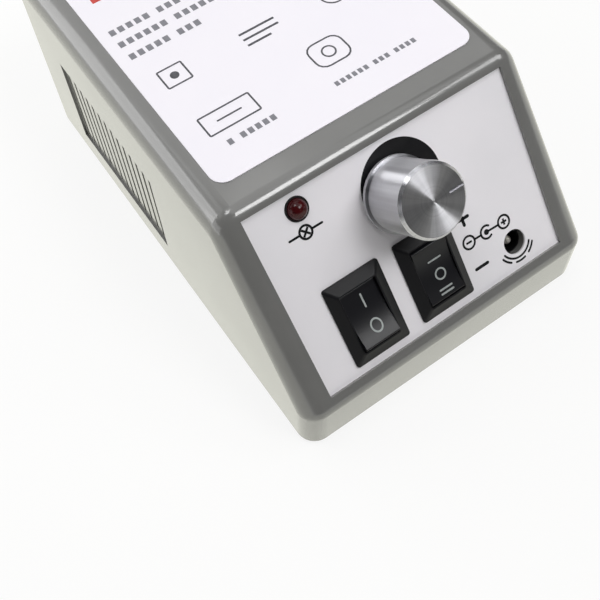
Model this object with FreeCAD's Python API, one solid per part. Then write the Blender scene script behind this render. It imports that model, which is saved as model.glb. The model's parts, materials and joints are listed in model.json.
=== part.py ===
import FreeCAD, Part

import math
import os

from FreeCAD import Placement, Rotation, Vector

# Desktop control unit of an electric file: a wedge-shaped moulded case with a
# sloping control face.  Millimetres, +Z up, the sloping face looks towards -Y.
# The case is drawn with its front lower edge at y = 0 and its rim at z = 0,
# and every finished piece is moved by FRAME_SHIFT, which puts the origin at
# the bottom centre of the whole unit.

# ---- Case ---------------------------------------------------------------
body_width = 86.0            # across the rim
body_depth = 134.0
body_height = 53.2           # rim to top
face_rise = 38.9             # height of the sloping face, set by the controls it carries
slope_angle = 48.7           # of the control face, from level
side_draft = 2.65            # lean of each side wall, degrees
wall = 2.4
slope_wall = 3.2             # the control face is thicker, it carries the controls
side_edge_radius = 6.0       # long edges between the sides and the top
corner_radius = 5.0          # upright corners and the sides of the slope
brow_radius = 4.0            # between the slope and the top
chin_radius = 3.0            # between the slope and the front wall
rear_edge_radius = 3.0
inner_radius = 3.2           # inside corners of the moulding

# ---- Control panel sheet -------------------------------------------------
panel_side_border = 8.35     # sheet's side edge in from the widest part of the case
panel_end_border = 2.84      # along the slope, at each end
panel_lift = 0.3             # centre of the sheet above the middle of the slope
panel_thickness = 0.5
panel_sink = 0.8             # face of the sheet below the slope

# ---- Controls: distance of each centre from an edge of the sheet --------------
power_switch_from_left = 16.35
direction_switch_from_left = 35.6
switches_from_foot = 12.65   # edge of the sheet at the front wall
knob_from_left = 34.3
knob_from_head = 12.75       # edge of the sheet at the top
lamp_from_left = 12.25
lamp_from_head = 4.05
jack_from_right = 11.45
jack_from_foot = 6.85

# ---- Rocker switches -----------------------------------------------------
bezel_width = 15.0
bezel_height = 21.0
bezel_edge = 0.45            # upright rim of the bezel
bezel_rise = 1.9             # top of the bezel over the sheet
bezel_corner = 0.7
bezel_lip = 0.35             # flat land round the opening
switch_body_width = 13.0
switch_body_height = 19.2
switch_body_depth = 12.5     # below the sheet
cutout_clearance = 0.1       # each side
rocker_well_width = 9.7
rocker_well_height = 15.0
rocker_well_depth = 6.2      # below the sheet
rocker_side_gap = 0.15
rocker_end_gap = 0.25
rocker_pivot_height = 0.0    # pivot over the sheet
rocker_crease = 0.9          # middle of the rocker over the pivot
rocker_wing_angle = 11.0     # rise of each wing at mid position
rocker_dish_radius = 24.0    # hollow between the wings
rocker_tip_round = 0.35
rocker_swing = 11.0          # tilt to each side
rocker_skirt_angle = 30.0    # how far the round ends reach below the pivot
trunnion_radius = 1.1
trunnion_length = 1.0
trunnion_clearance = 0.05
snap_reach = 0.7
snap_height = 3.0
blade_width = 4.7
blade_thickness = 0.8
blade_length = 6.4
blade_root = 1.5             # length moulded into the body
blade_pitch = 6.4            # rows, up the slope
blade_column = 6.6           # columns, across

# ---- Speed control: knob and potentiometer --------------------------------
knob_radius = 8.15
knob_flange_radius = 8.75
knob_flange_height = 1.0
knob_groove_height = 0.4
knob_groove_depth = 0.25
knob_height = 14.4
knob_lift = 1.25             # underside over the sheet
knob_chamfer = 0.65
knob_shell = 1.0             # aluminium wall
pointer_width = 0.7
pointer_depth = 0.5
pointer_inner = 4.0          # from the axis
pointer_rest_angle = 90.0    # clockwise from straight up the slope
core_clearance = 0.03
core_recess_height = 2.6     # room for the nut under the knob
shaft_radius = 3.0
shaft_bore_clearance = 0.04
shaft_reach = 11.5           # over the sheet
shaft_flat_depth = 0.9
bush_radius = 3.5
bush_reach = 3.6             # over the sheet
bush_plate_radius = 7.4
bush_plate_thickness = 1.2
pot_case_radius = 8.2
pot_case_depth = 7.5
pot_case_wall = 0.6
rotor_radius = 6.4
rotor_thickness = 1.2
rotor_gap = 0.5
nut_across_flats = 10.0
nut_height = 1.9
washer_radius = 5.6
washer_thickness = 0.5
hole_clearance = 0.1
lug_width = 2.4
lug_thickness = 0.8
lug_length = 6.0
lug_pitch = 5.0
lug_gap = 0.1                # round each lug in the case's slit
core_gap = 0.4               # core's foot above the cap's underside
core_wall = 0.6              # core round the nut's room
shaft_end_gap = 0.2
cup_floor_gap = 0.6          # track above the case's floor

# ---- Lamp -----------------------------------------------------------------
lamp_radius = 2.4
lamp_rise = 2.2              # dome top over the sheet
lamp_holder_wall = 0.35
lamp_holder_rise = 0.25
lamp_holder_depth = 6.0
lamp_holder_flange = 1.2
lamp_lead_radius = 0.25
lamp_lead_length = 9.0
lamp_lead_spacing = 2.54
lamp_foot_height = 1.0
lamp_foot_reach = 0.3
lamp_barb_height = 1.0       # straight part of the holder's barb

# ---- Output jack ------------------------------------------------------------
jack_hole_radius = 3.07
jack_bore_radius = 2.9
jack_pin_radius = 1.05
jack_pin_sink = 2.3          # tip below the sheet
jack_collar_radius = 4.6
jack_collar_depth = 3.6
jack_block = 9.4
jack_depth = 12.5
jack_bore_depth = 9.5
jack_shoulder_radius = 1.4   # of the pin where it is moulded in
jack_lug_radius = 0.8
jack_lug_length = 4.0
jack_spring_width = 1.4
jack_spring_thickness = 0.4
jack_spring_length = 5.2
jack_spring_height = 3.4     # of its contact point over its foot
jack_spring_gap = 0.1
jack_spring_reach = 1.3      # foot outside the bore
jack_spring_contact = 0.2    # contact point outside the bore

# ---- Top label --------------------------------------------------------------
label_width = 68.8
label_front_margin = 6.9     # from the brow edge
label_rear_margin = 6.9
label_corner = 3.5
label_thickness = 0.2

# ---- Side vents -------------------------------------------------------------
vent_length = 47.5
vent_height = 27.2
vent_centre_back = 89.3      # from the front
vent_centre_height = 21.0    # over the rim
vent_sink = 0.6
vent_flange = 2.0
vent_flange_thickness = 1.2
vent_fit = 0.15
slot_count = 14
slot_width = 1.1
slot_margin = 1.2

# ---- Base plate, feet and case screws ----------------------------------------
base_thickness = 2.4
base_clearance = 0.2
foot_radius = 4.5
foot_proud = 1.5
foot_seat = 1.0
foot_inset_side = 12.0
foot_inset_end = 24.0
foot_chamfer = 0.5
screw_inset_side = 9.5
screw_inset_front = 10.5
screw_inset_rear = 12.0
screw_boss_radius = 3.6
screw_radius = 1.45
screw_hole_clearance = 0.05
screw_head_radius = 2.8
screw_head_height = 1.4
screw_length = 12.0
screw_socket_depth = 0.8
screw_end_room = 0.5
socket_reach = 0.6           # drive cross, share of the head's width
socket_slot = 0.35           # width of its slots, share of the head's height

# ---- Cord bushing in the rear wall --------------------------------------------
bushing_from_left = 19.0
bushing_height = 17.0
bushing_bore_radius = 3.1
bushing_neck_radius = 5.0
bushing_flange_radius = 7.0
bushing_flange_thickness = 1.6
bushing_inner_flange_radius = 6.0
bushing_chamfer = 0.6

# ---- Circuit board ------------------------------------------------------------
board_width = 62.0
board_length = 36.0
board_thickness = 1.6
board_front = 40.0
board_standoff = 4.0
standoff_radius = 3.0
board_hole_inset = 4.0
board_screw_radius = 1.25
board_screw_head = 2.4
board_screw_head_height = 1.6
board_screw_length = 6.0
board_screw_socket = 0.7
pilot_floor = 0.6            # base plate left under a blind screw hole
capacitor_radius = 6.3
capacitor_height = 21.0
capacitor_place = (-15.5, 61.0)
capacitor_groove_depth = 0.5
capacitor_groove_height = 2.0
capacitor_groove_width = 0.8
heatsink_place = (12.5, 63.0)    # middle of its plate
heatsink_width = 21.0
heatsink_height = 20.0
heatsink_fin = 1.2
heatsink_fin_count = 6
heatsink_fin_depth = 7.0
heatsink_plate = 2.0
transistor_lift = 4.0        # over the board
transistor_width = 10.0
transistor_tab_thickness = 1.3
transistor_tab_height = 15.5
transistor_body_thickness = 4.4
transistor_body_height = 9.0
transistor_leg_width = 0.8
transistor_leg_thickness = 0.6
transistor_leg_pitch = 2.54
transistor_leg_root = 0.5
fuse_radius = 2.6
fuse_length = 20.0
fuse_cap_length = 5.0
fuse_cap_wall = 0.2
fuse_axis_height = 5.2
fuse_place = (14.0, 48.0)
clip_foot = 3.1
clip_mouth = 3.6
clip_grip = 1.3              # the clip's arms end this far over the fuse's axis
clip_width = 4.0
clip_thickness = 0.5
diode_radius = 1.4
diode_length = 5.2
diode_pitch = 5.5
diode_lead_width = 0.7
diode_lead_span = 10.0
diode_row_place = (-19.0, 48.0)  # first diode
diode_count = 4
diode_lift = 0.3

# ---- Transformer ----------------------------------------------------------------
core_width = 48.0
strap_headroom = 3.4         # under the top of the case
core_stack = 17.0
core_limb = 8.0
coil_overhang = 8.0
coil_fit = 0.3
strap_thickness = 1.0
strap_foot = 9.0
strap_screw_radius = 1.7
strap_pillar_height = 3.0
strap_pillar_radius = 4.2
strap_foot_share = 0.7       # foot length as a share of the stack
strap_screw_length = 4.5
strap_screw_head = 3.2
strap_screw_head_height = 1.8
strap_screw_socket = 0.9
coil_corner = 3.0
transformer_middle = 96.0    # from the front

# ---- Derived sizes ------------------------------------------------------------------
slope = math.radians(slope_angle)
draft = math.radians(side_draft)
front_wall_height = body_height - face_rise
slope_run = face_rise / math.tan(slope)
slope_length = face_rise / math.sin(slope)
panel_width = body_width - 2 * panel_side_border
panel_height = slope_length - 2 * panel_end_border
power_switch_place = (power_switch_from_left - panel_width / 2, switches_from_foot - panel_height / 2)
direction_switch_place = (direction_switch_from_left - panel_width / 2, switches_from_foot - panel_height / 2)
knob_place = (knob_from_left - panel_width / 2, panel_height / 2 - knob_from_head)
lamp_place = (lamp_from_left - panel_width / 2, panel_height / 2 - lamp_from_head)
jack_place = (panel_width / 2 - jack_from_right, jack_from_foot - panel_height / 2)
bushing_place_across = bushing_from_left - body_width / 2
core_floor = base_thickness + strap_pillar_height + strap_thickness
core_height = body_height - wall - strap_headroom - strap_thickness - core_floor
unit_depth = body_depth + bushing_flange_thickness
FRAME_SHIFT = Vector(0, -unit_depth / 2, foot_proud)
panel_pocket = panel_sink + panel_thickness
face_grip = slope_wall - panel_sink     # sheet and case wall under a bezel
slope_middle = Vector(0, slope_run / 2, (front_wall_height + body_height) / 2)
sheet_centre = slope_middle + Vector(0, math.cos(slope), math.sin(slope)) * panel_lift
sheet_normal = Vector(0, -math.sin(slope), math.cos(slope))
sheet_origin = sheet_centre - sheet_normal * panel_sink
sheet_frame = Placement(sheet_origin, Rotation(Vector(1, 0, 0), slope_angle))
UP = Vector(0, 0, 1)


# ---- Small tools -----------------------------------------------------------------
def box(width, length, height, centre=(0.0, 0.0), bottom=0.0):
    """A block centred across and along, standing on `bottom`."""
    corner = Vector(centre[0] - width / 2, centre[1] - length / 2, bottom)
    return Part.makeBox(width, length, height, corner)


def rod(radius, height, centre=(0.0, 0.0), bottom=0.0, axis=UP):
    """A round bar that stands on `bottom`."""
    return Part.makeCylinder(radius, height, Vector(centre[0], centre[1], bottom), axis)


def tube(outer, inner, height, centre=(0.0, 0.0), bottom=0.0):
    """A round bar with a round bore."""
    return rod(outer, height, centre, bottom).cut(rod(inner, height, centre, bottom))


def prism(points, direction):
    """A solid swept along `direction` from a closed outline."""
    outline = Part.makePolygon([Vector(*p) for p in points] + [Vector(*points[0])])
    return Part.Face(outline).extrude(direction)


def turned(profile):
    """A solid of revolution about Z from (radius, height) points."""
    outline = Part.makePolygon([Vector(r, 0, z) for r, z in profile + profile[:1]])
    return Part.Face(outline).revolve(Vector(0, 0, 0), UP, 360)


def rounded_rectangle(width, length, radius, height):
    """A closed wire with four round corners at the given height."""
    slab = box(width, length, 1.0, bottom=height)
    upright = [e for e in slab.Edges if abs(e.tangentAt(e.FirstParameter).z) > 0.9]
    slab = slab.makeFillet(radius, upright)
    lowest = min(slab.Faces, key=lambda f: f.CenterOfMass.z)
    return lowest.OuterWire


def joined(shapes):
    """One solid from pieces that overlap."""
    whole = shapes[0]
    for shape in shapes[1:]:
        whole = whole.fuse(shape)
    return whole.removeSplitter()


def without(shape, tools):
    """The shape with each tool cut away."""
    for tool in tools:
        shape = shape.cut(tool)
    return shape


def grouped(shapes):
    """Separate equal solids kept in one node."""
    return Part.makeCompound(shapes)


def on_sheet(shape, place=(0.0, 0.0), height=0.0):
    """Moves a piece drawn flat to its place on the sloping sheet."""
    moved = shape.copy()
    shift = Placement(Vector(place[0], place[1], height), Rotation())
    moved.Placement = sheet_frame.multiply(shift).multiply(moved.Placement)
    return moved


def edges_near(shape, test):
    """Edges whose middle point passes the test."""
    found = []
    for edge in shape.Edges:
        middle = edge.valueAt((edge.FirstParameter + edge.LastParameter) / 2)
        if test(middle):
            found.append(edge)
    return found


def half_width(height, inset=0.0):
    """Half the case's width at a height over the rim."""
    return body_width / 2 - inset / math.cos(draft) - height * math.tan(draft)


def ceiling(back, inset=0.0, slope_inset=0.0):
    """Height of the case over a point that lies `back` from the front."""
    on_slope = front_wall_height + back * math.tan(slope) - slope_inset / math.cos(slope)
    return min(on_slope, body_height - inset)


# ---- Case ---------------------------------------------------------------------------
def wedge(inset, slope_inset):
    """The case's form with flat faces, each set in from the outside."""
    top = body_height - inset
    slope_foot = ceiling(inset, inset, slope_inset)
    slope_head = (top + slope_inset / math.cos(slope) - front_wall_height) / math.tan(slope)
    rear = body_depth - inset
    profile = [(inset, 0), (inset, slope_foot), (slope_head, top), (rear, top), (rear, 0)]
    start = -body_width / 2
    side_view = prism([(start, y, z) for y, z in profile], Vector(body_width, 0, 0))
    low, high = half_width(0, inset), half_width(body_height, inset)
    front_view = [(-low, 0, 0), (low, 0, 0), (high, 0, body_height), (-high, 0, body_height)]
    return side_view.common(prism(front_view, Vector(0, body_depth, 0)))


def round_edges(solid, rules):
    """Rounds edges in one pass; rules pair a test of an edge's middle with a radius."""
    document = FreeCAD.newDocument("rounding")
    sharp = document.addObject("Part::Feature", "sharp")
    sharp.Shape = solid
    rounded = document.addObject("Part::Fillet", "rounded")
    rounded.Base = sharp
    chosen = []
    for number, edge in enumerate(solid.Edges, 1):
        middle = edge.valueAt((edge.FirstParameter + edge.LastParameter) / 2)
        radius = next((r for test, r in rules if test(middle)), None)
        if radius:
            chosen.append((number, radius, radius))
    rounded.Edges = chosen
    document.recompute()
    shape = rounded.Shape.copy()
    FreeCAD.closeDocument(document.Name)
    return shape


def case_form(inset, slope_inset, radii):
    """The wedge with its edges rounded: top sides, corners, brow, chin, rear."""
    side, corner, brow, chin, rear = radii
    top = body_height - inset
    back = body_depth - inset
    slope_foot = ceiling(inset, inset, slope_inset)
    near = 0.01

    def on_flank(point):
        return abs(abs(point.x) - half_width(point.z, inset)) < near and point.z > near

    def spans(point):
        return abs(point.x) < near

    rules = [
        (lambda p: on_flank(p) and abs(p.z - top) < near, side),
        (on_flank, corner),
        (lambda p: spans(p) and abs(p.z - slope_foot) < near, chin),
        (lambda p: spans(p) and abs(p.z - top) < near and p.y < back / 2, brow),
        (lambda p: spans(p) and abs(p.z - top) < near, rear),
    ]
    return round_edges(wedge(inset, slope_inset), rules)


def case_outside():
    """The outer form of the case."""
    radii = (side_edge_radius, corner_radius, brow_radius, chin_radius, rear_edge_radius)
    return case_form(0, 0, radii)


def case_inside(gap=0.0):
    """The room inside the case, `gap` smaller all round."""
    radius = inner_radius - gap
    return case_form(wall + gap, slope_wall + gap, (radius,) * 5)


def screw_places():
    """Where the four case screws stand."""
    side = body_width / 2 - screw_inset_side
    front, rear = screw_inset_front, body_depth - screw_inset_rear
    return [(-side, front), (side, front), (-side, rear), (side, rear)]


def foot_places():
    """Where the four feet stand."""
    side = body_width / 2 - foot_inset_side
    front, rear = foot_inset_end, body_depth - foot_inset_end
    return [(-side, front), (side, front), (-side, rear), (side, rear)]


def vent_frame(flank):
    """A frame on a side wall: x runs back, y runs up the wall, z points out."""
    out = Vector(flank * math.cos(draft), 0, math.sin(draft))
    along = Vector(0, flank, 0)
    up = out.cross(along)
    origin = Vector(flank * half_width(vent_centre_height), vent_centre_back, vent_centre_height)
    return Placement(origin, Rotation(along, up, out, "ZXY"))


def on_flank(shape, flank):
    """Moves a piece drawn flat onto a side wall; flank is -1 left, +1 right."""
    moved = shape.copy()
    moved.Placement = vent_frame(flank).multiply(moved.Placement)
    return moved


def switch_cutout():
    """The opening that a rocker switch snaps into, through sheet and wall."""
    width = switch_body_width + 2 * cutout_clearance
    height = switch_body_height + 2 * cutout_clearance
    return box(width, height, 2 * slope_wall, bottom=-slope_wall)


def control_holes():
    """Every opening through the sheet and the sloping wall."""
    holes = [on_sheet(switch_cutout(), place) for place in (power_switch_place, direction_switch_place)]
    depth = 2 * slope_wall
    bush_hole = rod(bush_radius + hole_clearance, depth, bottom=-slope_wall)
    lamp_hole = rod(lamp_radius + lamp_holder_wall + hole_clearance, depth, bottom=-slope_wall)
    jack_hole = rod(jack_hole_radius, depth, bottom=-slope_wall)
    holes.append(on_sheet(bush_hole, knob_place))
    holes.append(on_sheet(lamp_hole, lamp_place))
    holes.append(on_sheet(jack_hole, jack_place))
    return holes


def upper_housing():
    """The moulded upper case with its screw bosses, pocket and openings."""
    outside = case_outside()
    inside = case_inside()
    shell = outside.cut(inside)
    bosses = []
    for x, y in screw_places():
        length = ceiling(y) - base_thickness - slope_wall / 2
        bosses.append(rod(screw_boss_radius, length, (x, y), base_thickness).common(outside))
    shell = joined([shell] + bosses)
    pilots = [rod(screw_radius + screw_hole_clearance, screw_length, place) for place in screw_places()]
    pocket = on_sheet(box(panel_width, panel_height, panel_pocket + panel_sink, bottom=-panel_thickness))
    windows = [on_flank(box(vent_length, vent_height, 3 * wall, bottom=-2 * wall), side) for side in (-1, 1)]
    cord_hole = Part.makeCylinder(
        bushing_neck_radius,
        2 * wall,
        Vector(bushing_place_across, body_depth - 1.5 * wall, bushing_height),
        Vector(0, 1, 0),
    )
    return without(shell, pilots + [pocket, cord_hole] + windows + control_holes())


def base_plate():
    """The flat bottom cover with standoffs, pillars, foot seats and screw holes."""
    slab = box(body_width, body_depth, base_thickness, (0, body_depth / 2))
    plate = case_inside(base_clearance).common(slab)
    stands = [rod(standoff_radius, board_standoff, place, base_thickness) for place in board_hole_places()]
    height = strap_pillar_height
    pillars = [rod(strap_pillar_radius, height, place, base_thickness) for place in strap_places()]
    plate = joined([plate] + stands + pillars)
    cuts = [rod(foot_radius + hole_clearance, foot_seat, place) for place in foot_places()]
    for place in screw_places():
        cuts.append(rod(screw_radius + hole_clearance, base_thickness, place))
        cuts.append(rod(screw_head_radius + hole_clearance, screw_head_height, place))
    for place in board_hole_places():
        depth = board_standoff + base_thickness
        cuts.append(rod(board_screw_radius + screw_hole_clearance, depth, place, pilot_floor))
    for place in strap_places():
        depth = strap_pillar_height + base_thickness
        cuts.append(rod(strap_screw_radius + screw_hole_clearance, depth, place, pilot_floor))
    return without(plate, cuts)


def screw(radius, length, head_form, place, head_bottom, points_up):
    """A pan-head screw; head_form is its radius, height and socket depth."""
    head_radius, head_height, socket_depth = head_form
    head = rod(head_radius, head_height)
    shank = rod(radius, length, bottom=head_height)
    reach = 2 * head_radius * socket_reach
    slot = head_height * socket_slot
    drive = box(reach, slot, socket_depth).fuse(box(slot, reach, socket_depth))
    whole = head.fuse(shank).removeSplitter().cut(drive)
    if not points_up:
        whole.rotate(Vector(0, 0, head_height / 2), Vector(1, 0, 0), 180)
    whole.translate(Vector(place[0], place[1], head_bottom))
    return whole


def case_screws():
    """Four self-tapping screws that hold the base plate to the upper case."""
    screws = []
    for place in screw_places():
        length = screw_length - screw_head_height - screw_end_room
        head = (screw_head_radius, screw_head_height, screw_socket_depth)
        screws.append(screw(screw_radius, length, head, place, 0.0, True))
    return grouped(screws)


def rubber_feet():
    """Four round feet seated in the base plate."""
    feet = []
    for x, y in foot_places():
        height = foot_proud + foot_seat
        profile = [
            (0, 0),
            (foot_radius - foot_chamfer, 0),
            (foot_radius, foot_chamfer),
            (foot_radius, height),
            (0, height),
        ]
        foot = turned(profile)
        foot.translate(Vector(x, y, -foot_proud))
        feet.append(foot)
    return grouped(feet)


def vent_grille(flank):
    """A slotted insert that sits behind a side window, one wall of upright slots."""
    face_depth = wall - vent_sink
    body = box(vent_length - 2 * vent_fit, vent_height - 2 * vent_fit, face_depth, bottom=-wall)
    flange = box(
        vent_length + 2 * vent_flange,
        vent_height + 2 * vent_flange,
        vent_flange_thickness,
        bottom=-wall - vent_flange_thickness,
    )
    body = joined([body, flange])
    pitch = (vent_length - 2 * vent_fit - slot_width) / slot_count
    slots = []
    for index in range(slot_count):
        place = (pitch * (index - (slot_count - 1) / 2), 0)
        length = vent_height - 2 * vent_fit - 2 * slot_margin
        slots.append(box(slot_width, length, 4 * wall, place, -3 * wall))
    return on_flank(without(body, slots), flank)


def cord_bushing():
    """The rubber ring in the rear wall that the mains cord would pass through."""
    rear = wall
    inner = rear + bushing_flange_thickness
    profile = [
        (bushing_bore_radius, -bushing_flange_thickness),
        (bushing_flange_radius - bushing_chamfer, -bushing_flange_thickness),
        (bushing_flange_radius, bushing_chamfer - bushing_flange_thickness),
        (bushing_flange_radius, 0),
        (bushing_neck_radius, 0),
        (bushing_neck_radius, rear),
        (bushing_inner_flange_radius, rear),
        (bushing_inner_flange_radius, inner),
        (bushing_bore_radius, inner),
    ]
    ring = turned(profile)
    ring.rotate(Vector(0, 0, 0), Vector(1, 0, 0), 90)
    ring.translate(Vector(bushing_place_across, body_depth, bushing_height))
    return ring


def top_label():
    """The plain sheet stuck on the flat top."""
    front = slope_run + label_front_margin
    rear = body_depth - label_rear_margin
    outline = rounded_rectangle(label_width, rear - front, label_corner, body_height)
    sheet = Part.Face(outline).extrude(Vector(0, 0, label_thickness))
    sheet.translate(Vector(0, (front + rear) / 2, 0))
    return sheet


def front_panel():
    """The stiff printed sheet set in the sloping face."""
    sheet = on_sheet(box(panel_width, panel_height, panel_thickness, bottom=-panel_thickness))
    return without(sheet, control_holes())


# ---- Rocker switches ------------------------------------------------------------------
def switch_body():
    """Bezel and body of a snap-in rocker switch, drawn flat on the sheet."""
    rim = rounded_rectangle(bezel_width, bezel_height, bezel_corner, 0.0)
    rim = Part.Face(rim).extrude(Vector(0, 0, bezel_edge))
    mouth_width = rocker_well_width + 2 * bezel_lip
    mouth_height = rocker_well_height + 2 * bezel_lip
    low = rounded_rectangle(bezel_width, bezel_height, bezel_corner, bezel_edge)
    high = rounded_rectangle(mouth_width, mouth_height, bezel_corner, bezel_rise)
    slant = Part.makeLoft([low, high], True, True)
    trunk = box(switch_body_width, switch_body_height, switch_body_depth, bottom=-switch_body_depth)
    snaps = []
    for end in (-1, 1):
        edge = end * switch_body_height / 2
        tip = edge + end * snap_reach
        top = -face_grip
        half = switch_body_width / 4
        outline = [(-half, edge, top), (-half, tip, top), (-half, edge, top - snap_height)]
        snaps.append(prism(outline, Vector(2 * half, 0, 0)))
    whole = joined([rim, slant, trunk] + snaps)
    depth = rocker_well_depth + 2 * bezel_rise
    well = box(rocker_well_width, rocker_well_height, depth, bottom=-rocker_well_depth)
    reach = rocker_well_width + 2 * (trunnion_length + trunnion_clearance - rocker_side_gap)
    pivot_hole = Part.makeCylinder(
        trunnion_radius + trunnion_clearance,
        reach,
        Vector(-reach / 2, 0, rocker_pivot_height),
        Vector(1, 0, 0),
    )
    return without(whole, [well, pivot_hole])


def rocker(tilt):
    """A two-winged rocker with its trunnions, tilted about its pivot in degrees."""
    radius = rocker_well_height / 2 - rocker_end_gap
    wing = math.radians(rocker_wing_angle)
    # The wing's plane meets the round end where radius * sin(a) = crease + radius * cos(a) * tan(wing)
    tip = wing + math.asin(rocker_crease * math.cos(wing) / radius)
    skirt = math.radians(-rocker_skirt_angle)

    def rim_point(angle, end=1):
        return Vector(0, end * radius * math.cos(angle), radius * math.sin(angle))

    # The hollow touches each wing where its radius stands square on the wing's plane
    dish_middle = rocker_crease + rocker_dish_radius / math.cos(wing) - rocker_dish_radius
    dish_reach = rocker_dish_radius * math.sin(wing)
    dish_edge = rocker_crease + dish_reach * math.tan(wing)
    dish = [Vector(0, -dish_reach, dish_edge), Vector(0, 0, dish_middle), Vector(0, dish_reach, dish_edge)]
    right = Part.Arc(rim_point(tip), rim_point((tip + skirt) / 2), rim_point(skirt)).toShape()
    left = Part.Arc(rim_point(skirt, -1), rim_point((tip + skirt) / 2, -1), rim_point(tip, -1)).toShape()
    edges = [
        Part.Arc(*dish).toShape(),
        Part.makeLine(dish[-1], rim_point(tip)),
        right,
        Part.makeLine(rim_point(skirt), rim_point(skirt, -1)),
        left,
        Part.makeLine(rim_point(tip, -1), dish[0]),
    ]
    width = rocker_well_width - 2 * rocker_side_gap
    body = Part.Face(Part.Wire(edges)).extrude(Vector(width, 0, 0))
    across = [edge for edge in body.Edges if abs(edge.tangentAt(edge.FirstParameter).x) > 0.9]
    tips = sorted(across, key=lambda edge: edge.CenterOfMass.z)[-2:]
    body = body.makeFillet(rocker_tip_round, tips)
    body.translate(Vector(-width / 2, 0, 0))
    span = width + 2 * trunnion_length - 2 * rocker_side_gap
    trunnions = Part.makeCylinder(trunnion_radius, span, Vector(-span / 2, 0, 0), Vector(1, 0, 0))
    body = joined([body, trunnions])
    body.rotate(Vector(0, 0, 0), Vector(1, 0, 0), tilt)
    body.translate(Vector(0, 0, rocker_pivot_height))
    return body


def switch_terminals(columns, rows):
    """The blade terminals of a switch, as separate blades in one node."""
    blades = []
    length = blade_length + blade_root
    for column in range(columns):
        for row in range(rows):
            x = blade_column * (column - (columns - 1) / 2)
            y = blade_pitch * (row - (rows - 1) / 2)
            width = blade_width if columns == 1 else blade_width * 0.8
            blades.append(box(width, blade_thickness, length, (x, y), -switch_body_depth - blade_length))
    return grouped(blades)


def fitted_switch_body(columns, rows):
    """A switch body moulded round the roots of its blades."""
    return switch_body().cut(switch_terminals(columns, rows))


# ---- Speed control -----------------------------------------------------------------------
def hexagon(across_flats, height, bottom):
    """A hexagonal bar about Z."""
    reach = across_flats / math.sqrt(3)
    corners = []
    for index in range(6):
        angle = math.radians(60 * index)
        corners.append((reach * math.cos(angle), reach * math.sin(angle), bottom))
    return prism(corners, Vector(0, 0, height))


def knob_cap():
    """The turned aluminium knob with its foot flange, groove and pointer notch."""
    low = knob_lift
    high = low + knob_height
    flange_top = low + knob_flange_height
    groove_top = flange_top + knob_groove_height
    groove = knob_radius - knob_groove_depth
    profile = [
        (knob_radius - knob_shell, low),
        (knob_flange_radius, low),
        (knob_flange_radius, flange_top),
        (groove, flange_top),
        (groove, groove_top),
        (knob_radius, groove_top),
        (knob_radius, high - knob_chamfer),
        (knob_radius - knob_chamfer, high),
        (0, high),
        (0, high - knob_shell),
        (knob_radius - knob_shell, high - knob_shell),
    ]
    cap = turned(profile)
    reach = knob_radius - pointer_inner
    notch = box(pointer_width, reach, pointer_depth, (0, pointer_inner + reach / 2), high - pointer_depth)
    notch.rotate(Vector(0, 0, 0), UP, -pointer_rest_angle)
    return cap.cut(notch)


def knob_core():
    """The plastic core inside the knob, bored for the flatted shaft."""
    radius = knob_radius - knob_shell - core_clearance
    bottom = knob_lift + core_gap
    top = knob_lift + knob_height - knob_shell
    core = rod(radius, top - bottom, bottom=bottom)
    nut_room = rod(radius - core_wall, knob_lift + core_recess_height - bottom, bottom=bottom)
    bore = flatted_shaft(shaft_radius + core_clearance, shaft_reach + shaft_end_gap, 0.0)
    return without(core, [nut_room, bore])


def flatted_shaft(radius, top, bottom):
    """A round shaft with a flat from the end of the bush up."""
    shaft = rod(radius, top - bottom, bottom=bottom)
    flat_side = radius - shaft_flat_depth
    flat = box(2 * radius, radius, top - bush_reach, (0, flat_side + radius / 2), bush_reach)
    return shaft.cut(flat)


def pot_floor():
    """Height of the mounting face behind the sloping wall."""
    return -face_grip


def potentiometer_shaft():
    """The turning shaft with the rotor that carries the wiper."""
    floor = pot_floor()
    rotor_top = floor - bush_plate_thickness - rotor_gap
    shaft = flatted_shaft(shaft_radius, shaft_reach, rotor_top - rotor_thickness / 2)
    rotor = rod(rotor_radius, rotor_thickness, bottom=rotor_top - rotor_thickness)
    return joined([shaft, rotor])


def potentiometer_bush():
    """The threaded mounting bush and its front plate."""
    floor = pot_floor()
    plate = rod(bush_plate_radius, bush_plate_thickness, bottom=floor - bush_plate_thickness)
    barrel = rod(bush_radius, bush_reach - floor, bottom=floor)
    whole = joined([plate, barrel])
    bore = rod(shaft_radius + shaft_bore_clearance, 2 * knob_height, bottom=-knob_height)
    return whole.cut(bore)


def potentiometer_case():
    """The drawn metal case round the rotor, open towards the bush plate."""
    floor = pot_floor()
    outer = rod(pot_case_radius, pot_case_depth, bottom=floor - pot_case_depth)
    room_radius = bush_plate_radius
    room = rod(room_radius, pot_case_depth - pot_case_wall, bottom=floor - pot_case_depth + pot_case_wall)
    half_slit = lug_pitch + lug_width / 2 + lug_gap
    slit_start = math.sqrt(room_radius**2 - half_slit**2) - lug_gap
    slit = box(
        2 * half_slit,
        pot_case_radius,
        lug_thickness + 2 * lug_gap,
        (0, slit_start + pot_case_radius / 2),
        lug_height() - lug_gap,
    )
    return without(outer, [room, slit])


def lug_height():
    """Height of the potentiometer's lugs over the sheet, under its rotor."""
    return pot_floor() - pot_case_depth + pot_case_wall + cup_floor_gap


def potentiometer_track():
    """The board with the resistive track and its three lugs."""
    disc = rod(bush_plate_radius - lug_gap, lug_thickness, bottom=lug_height())
    lugs = []
    for index in range(3):
        x = lug_pitch * (index - 1)
        length = pot_case_radius + lug_length
        lugs.append(box(lug_width, length, lug_thickness, (x, length / 2), lug_height()))
    return joined([disc] + lugs)


def washer():
    """The flat washer under the potentiometer's nut."""
    return tube(washer_radius, bush_radius + hole_clearance, washer_thickness)


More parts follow.
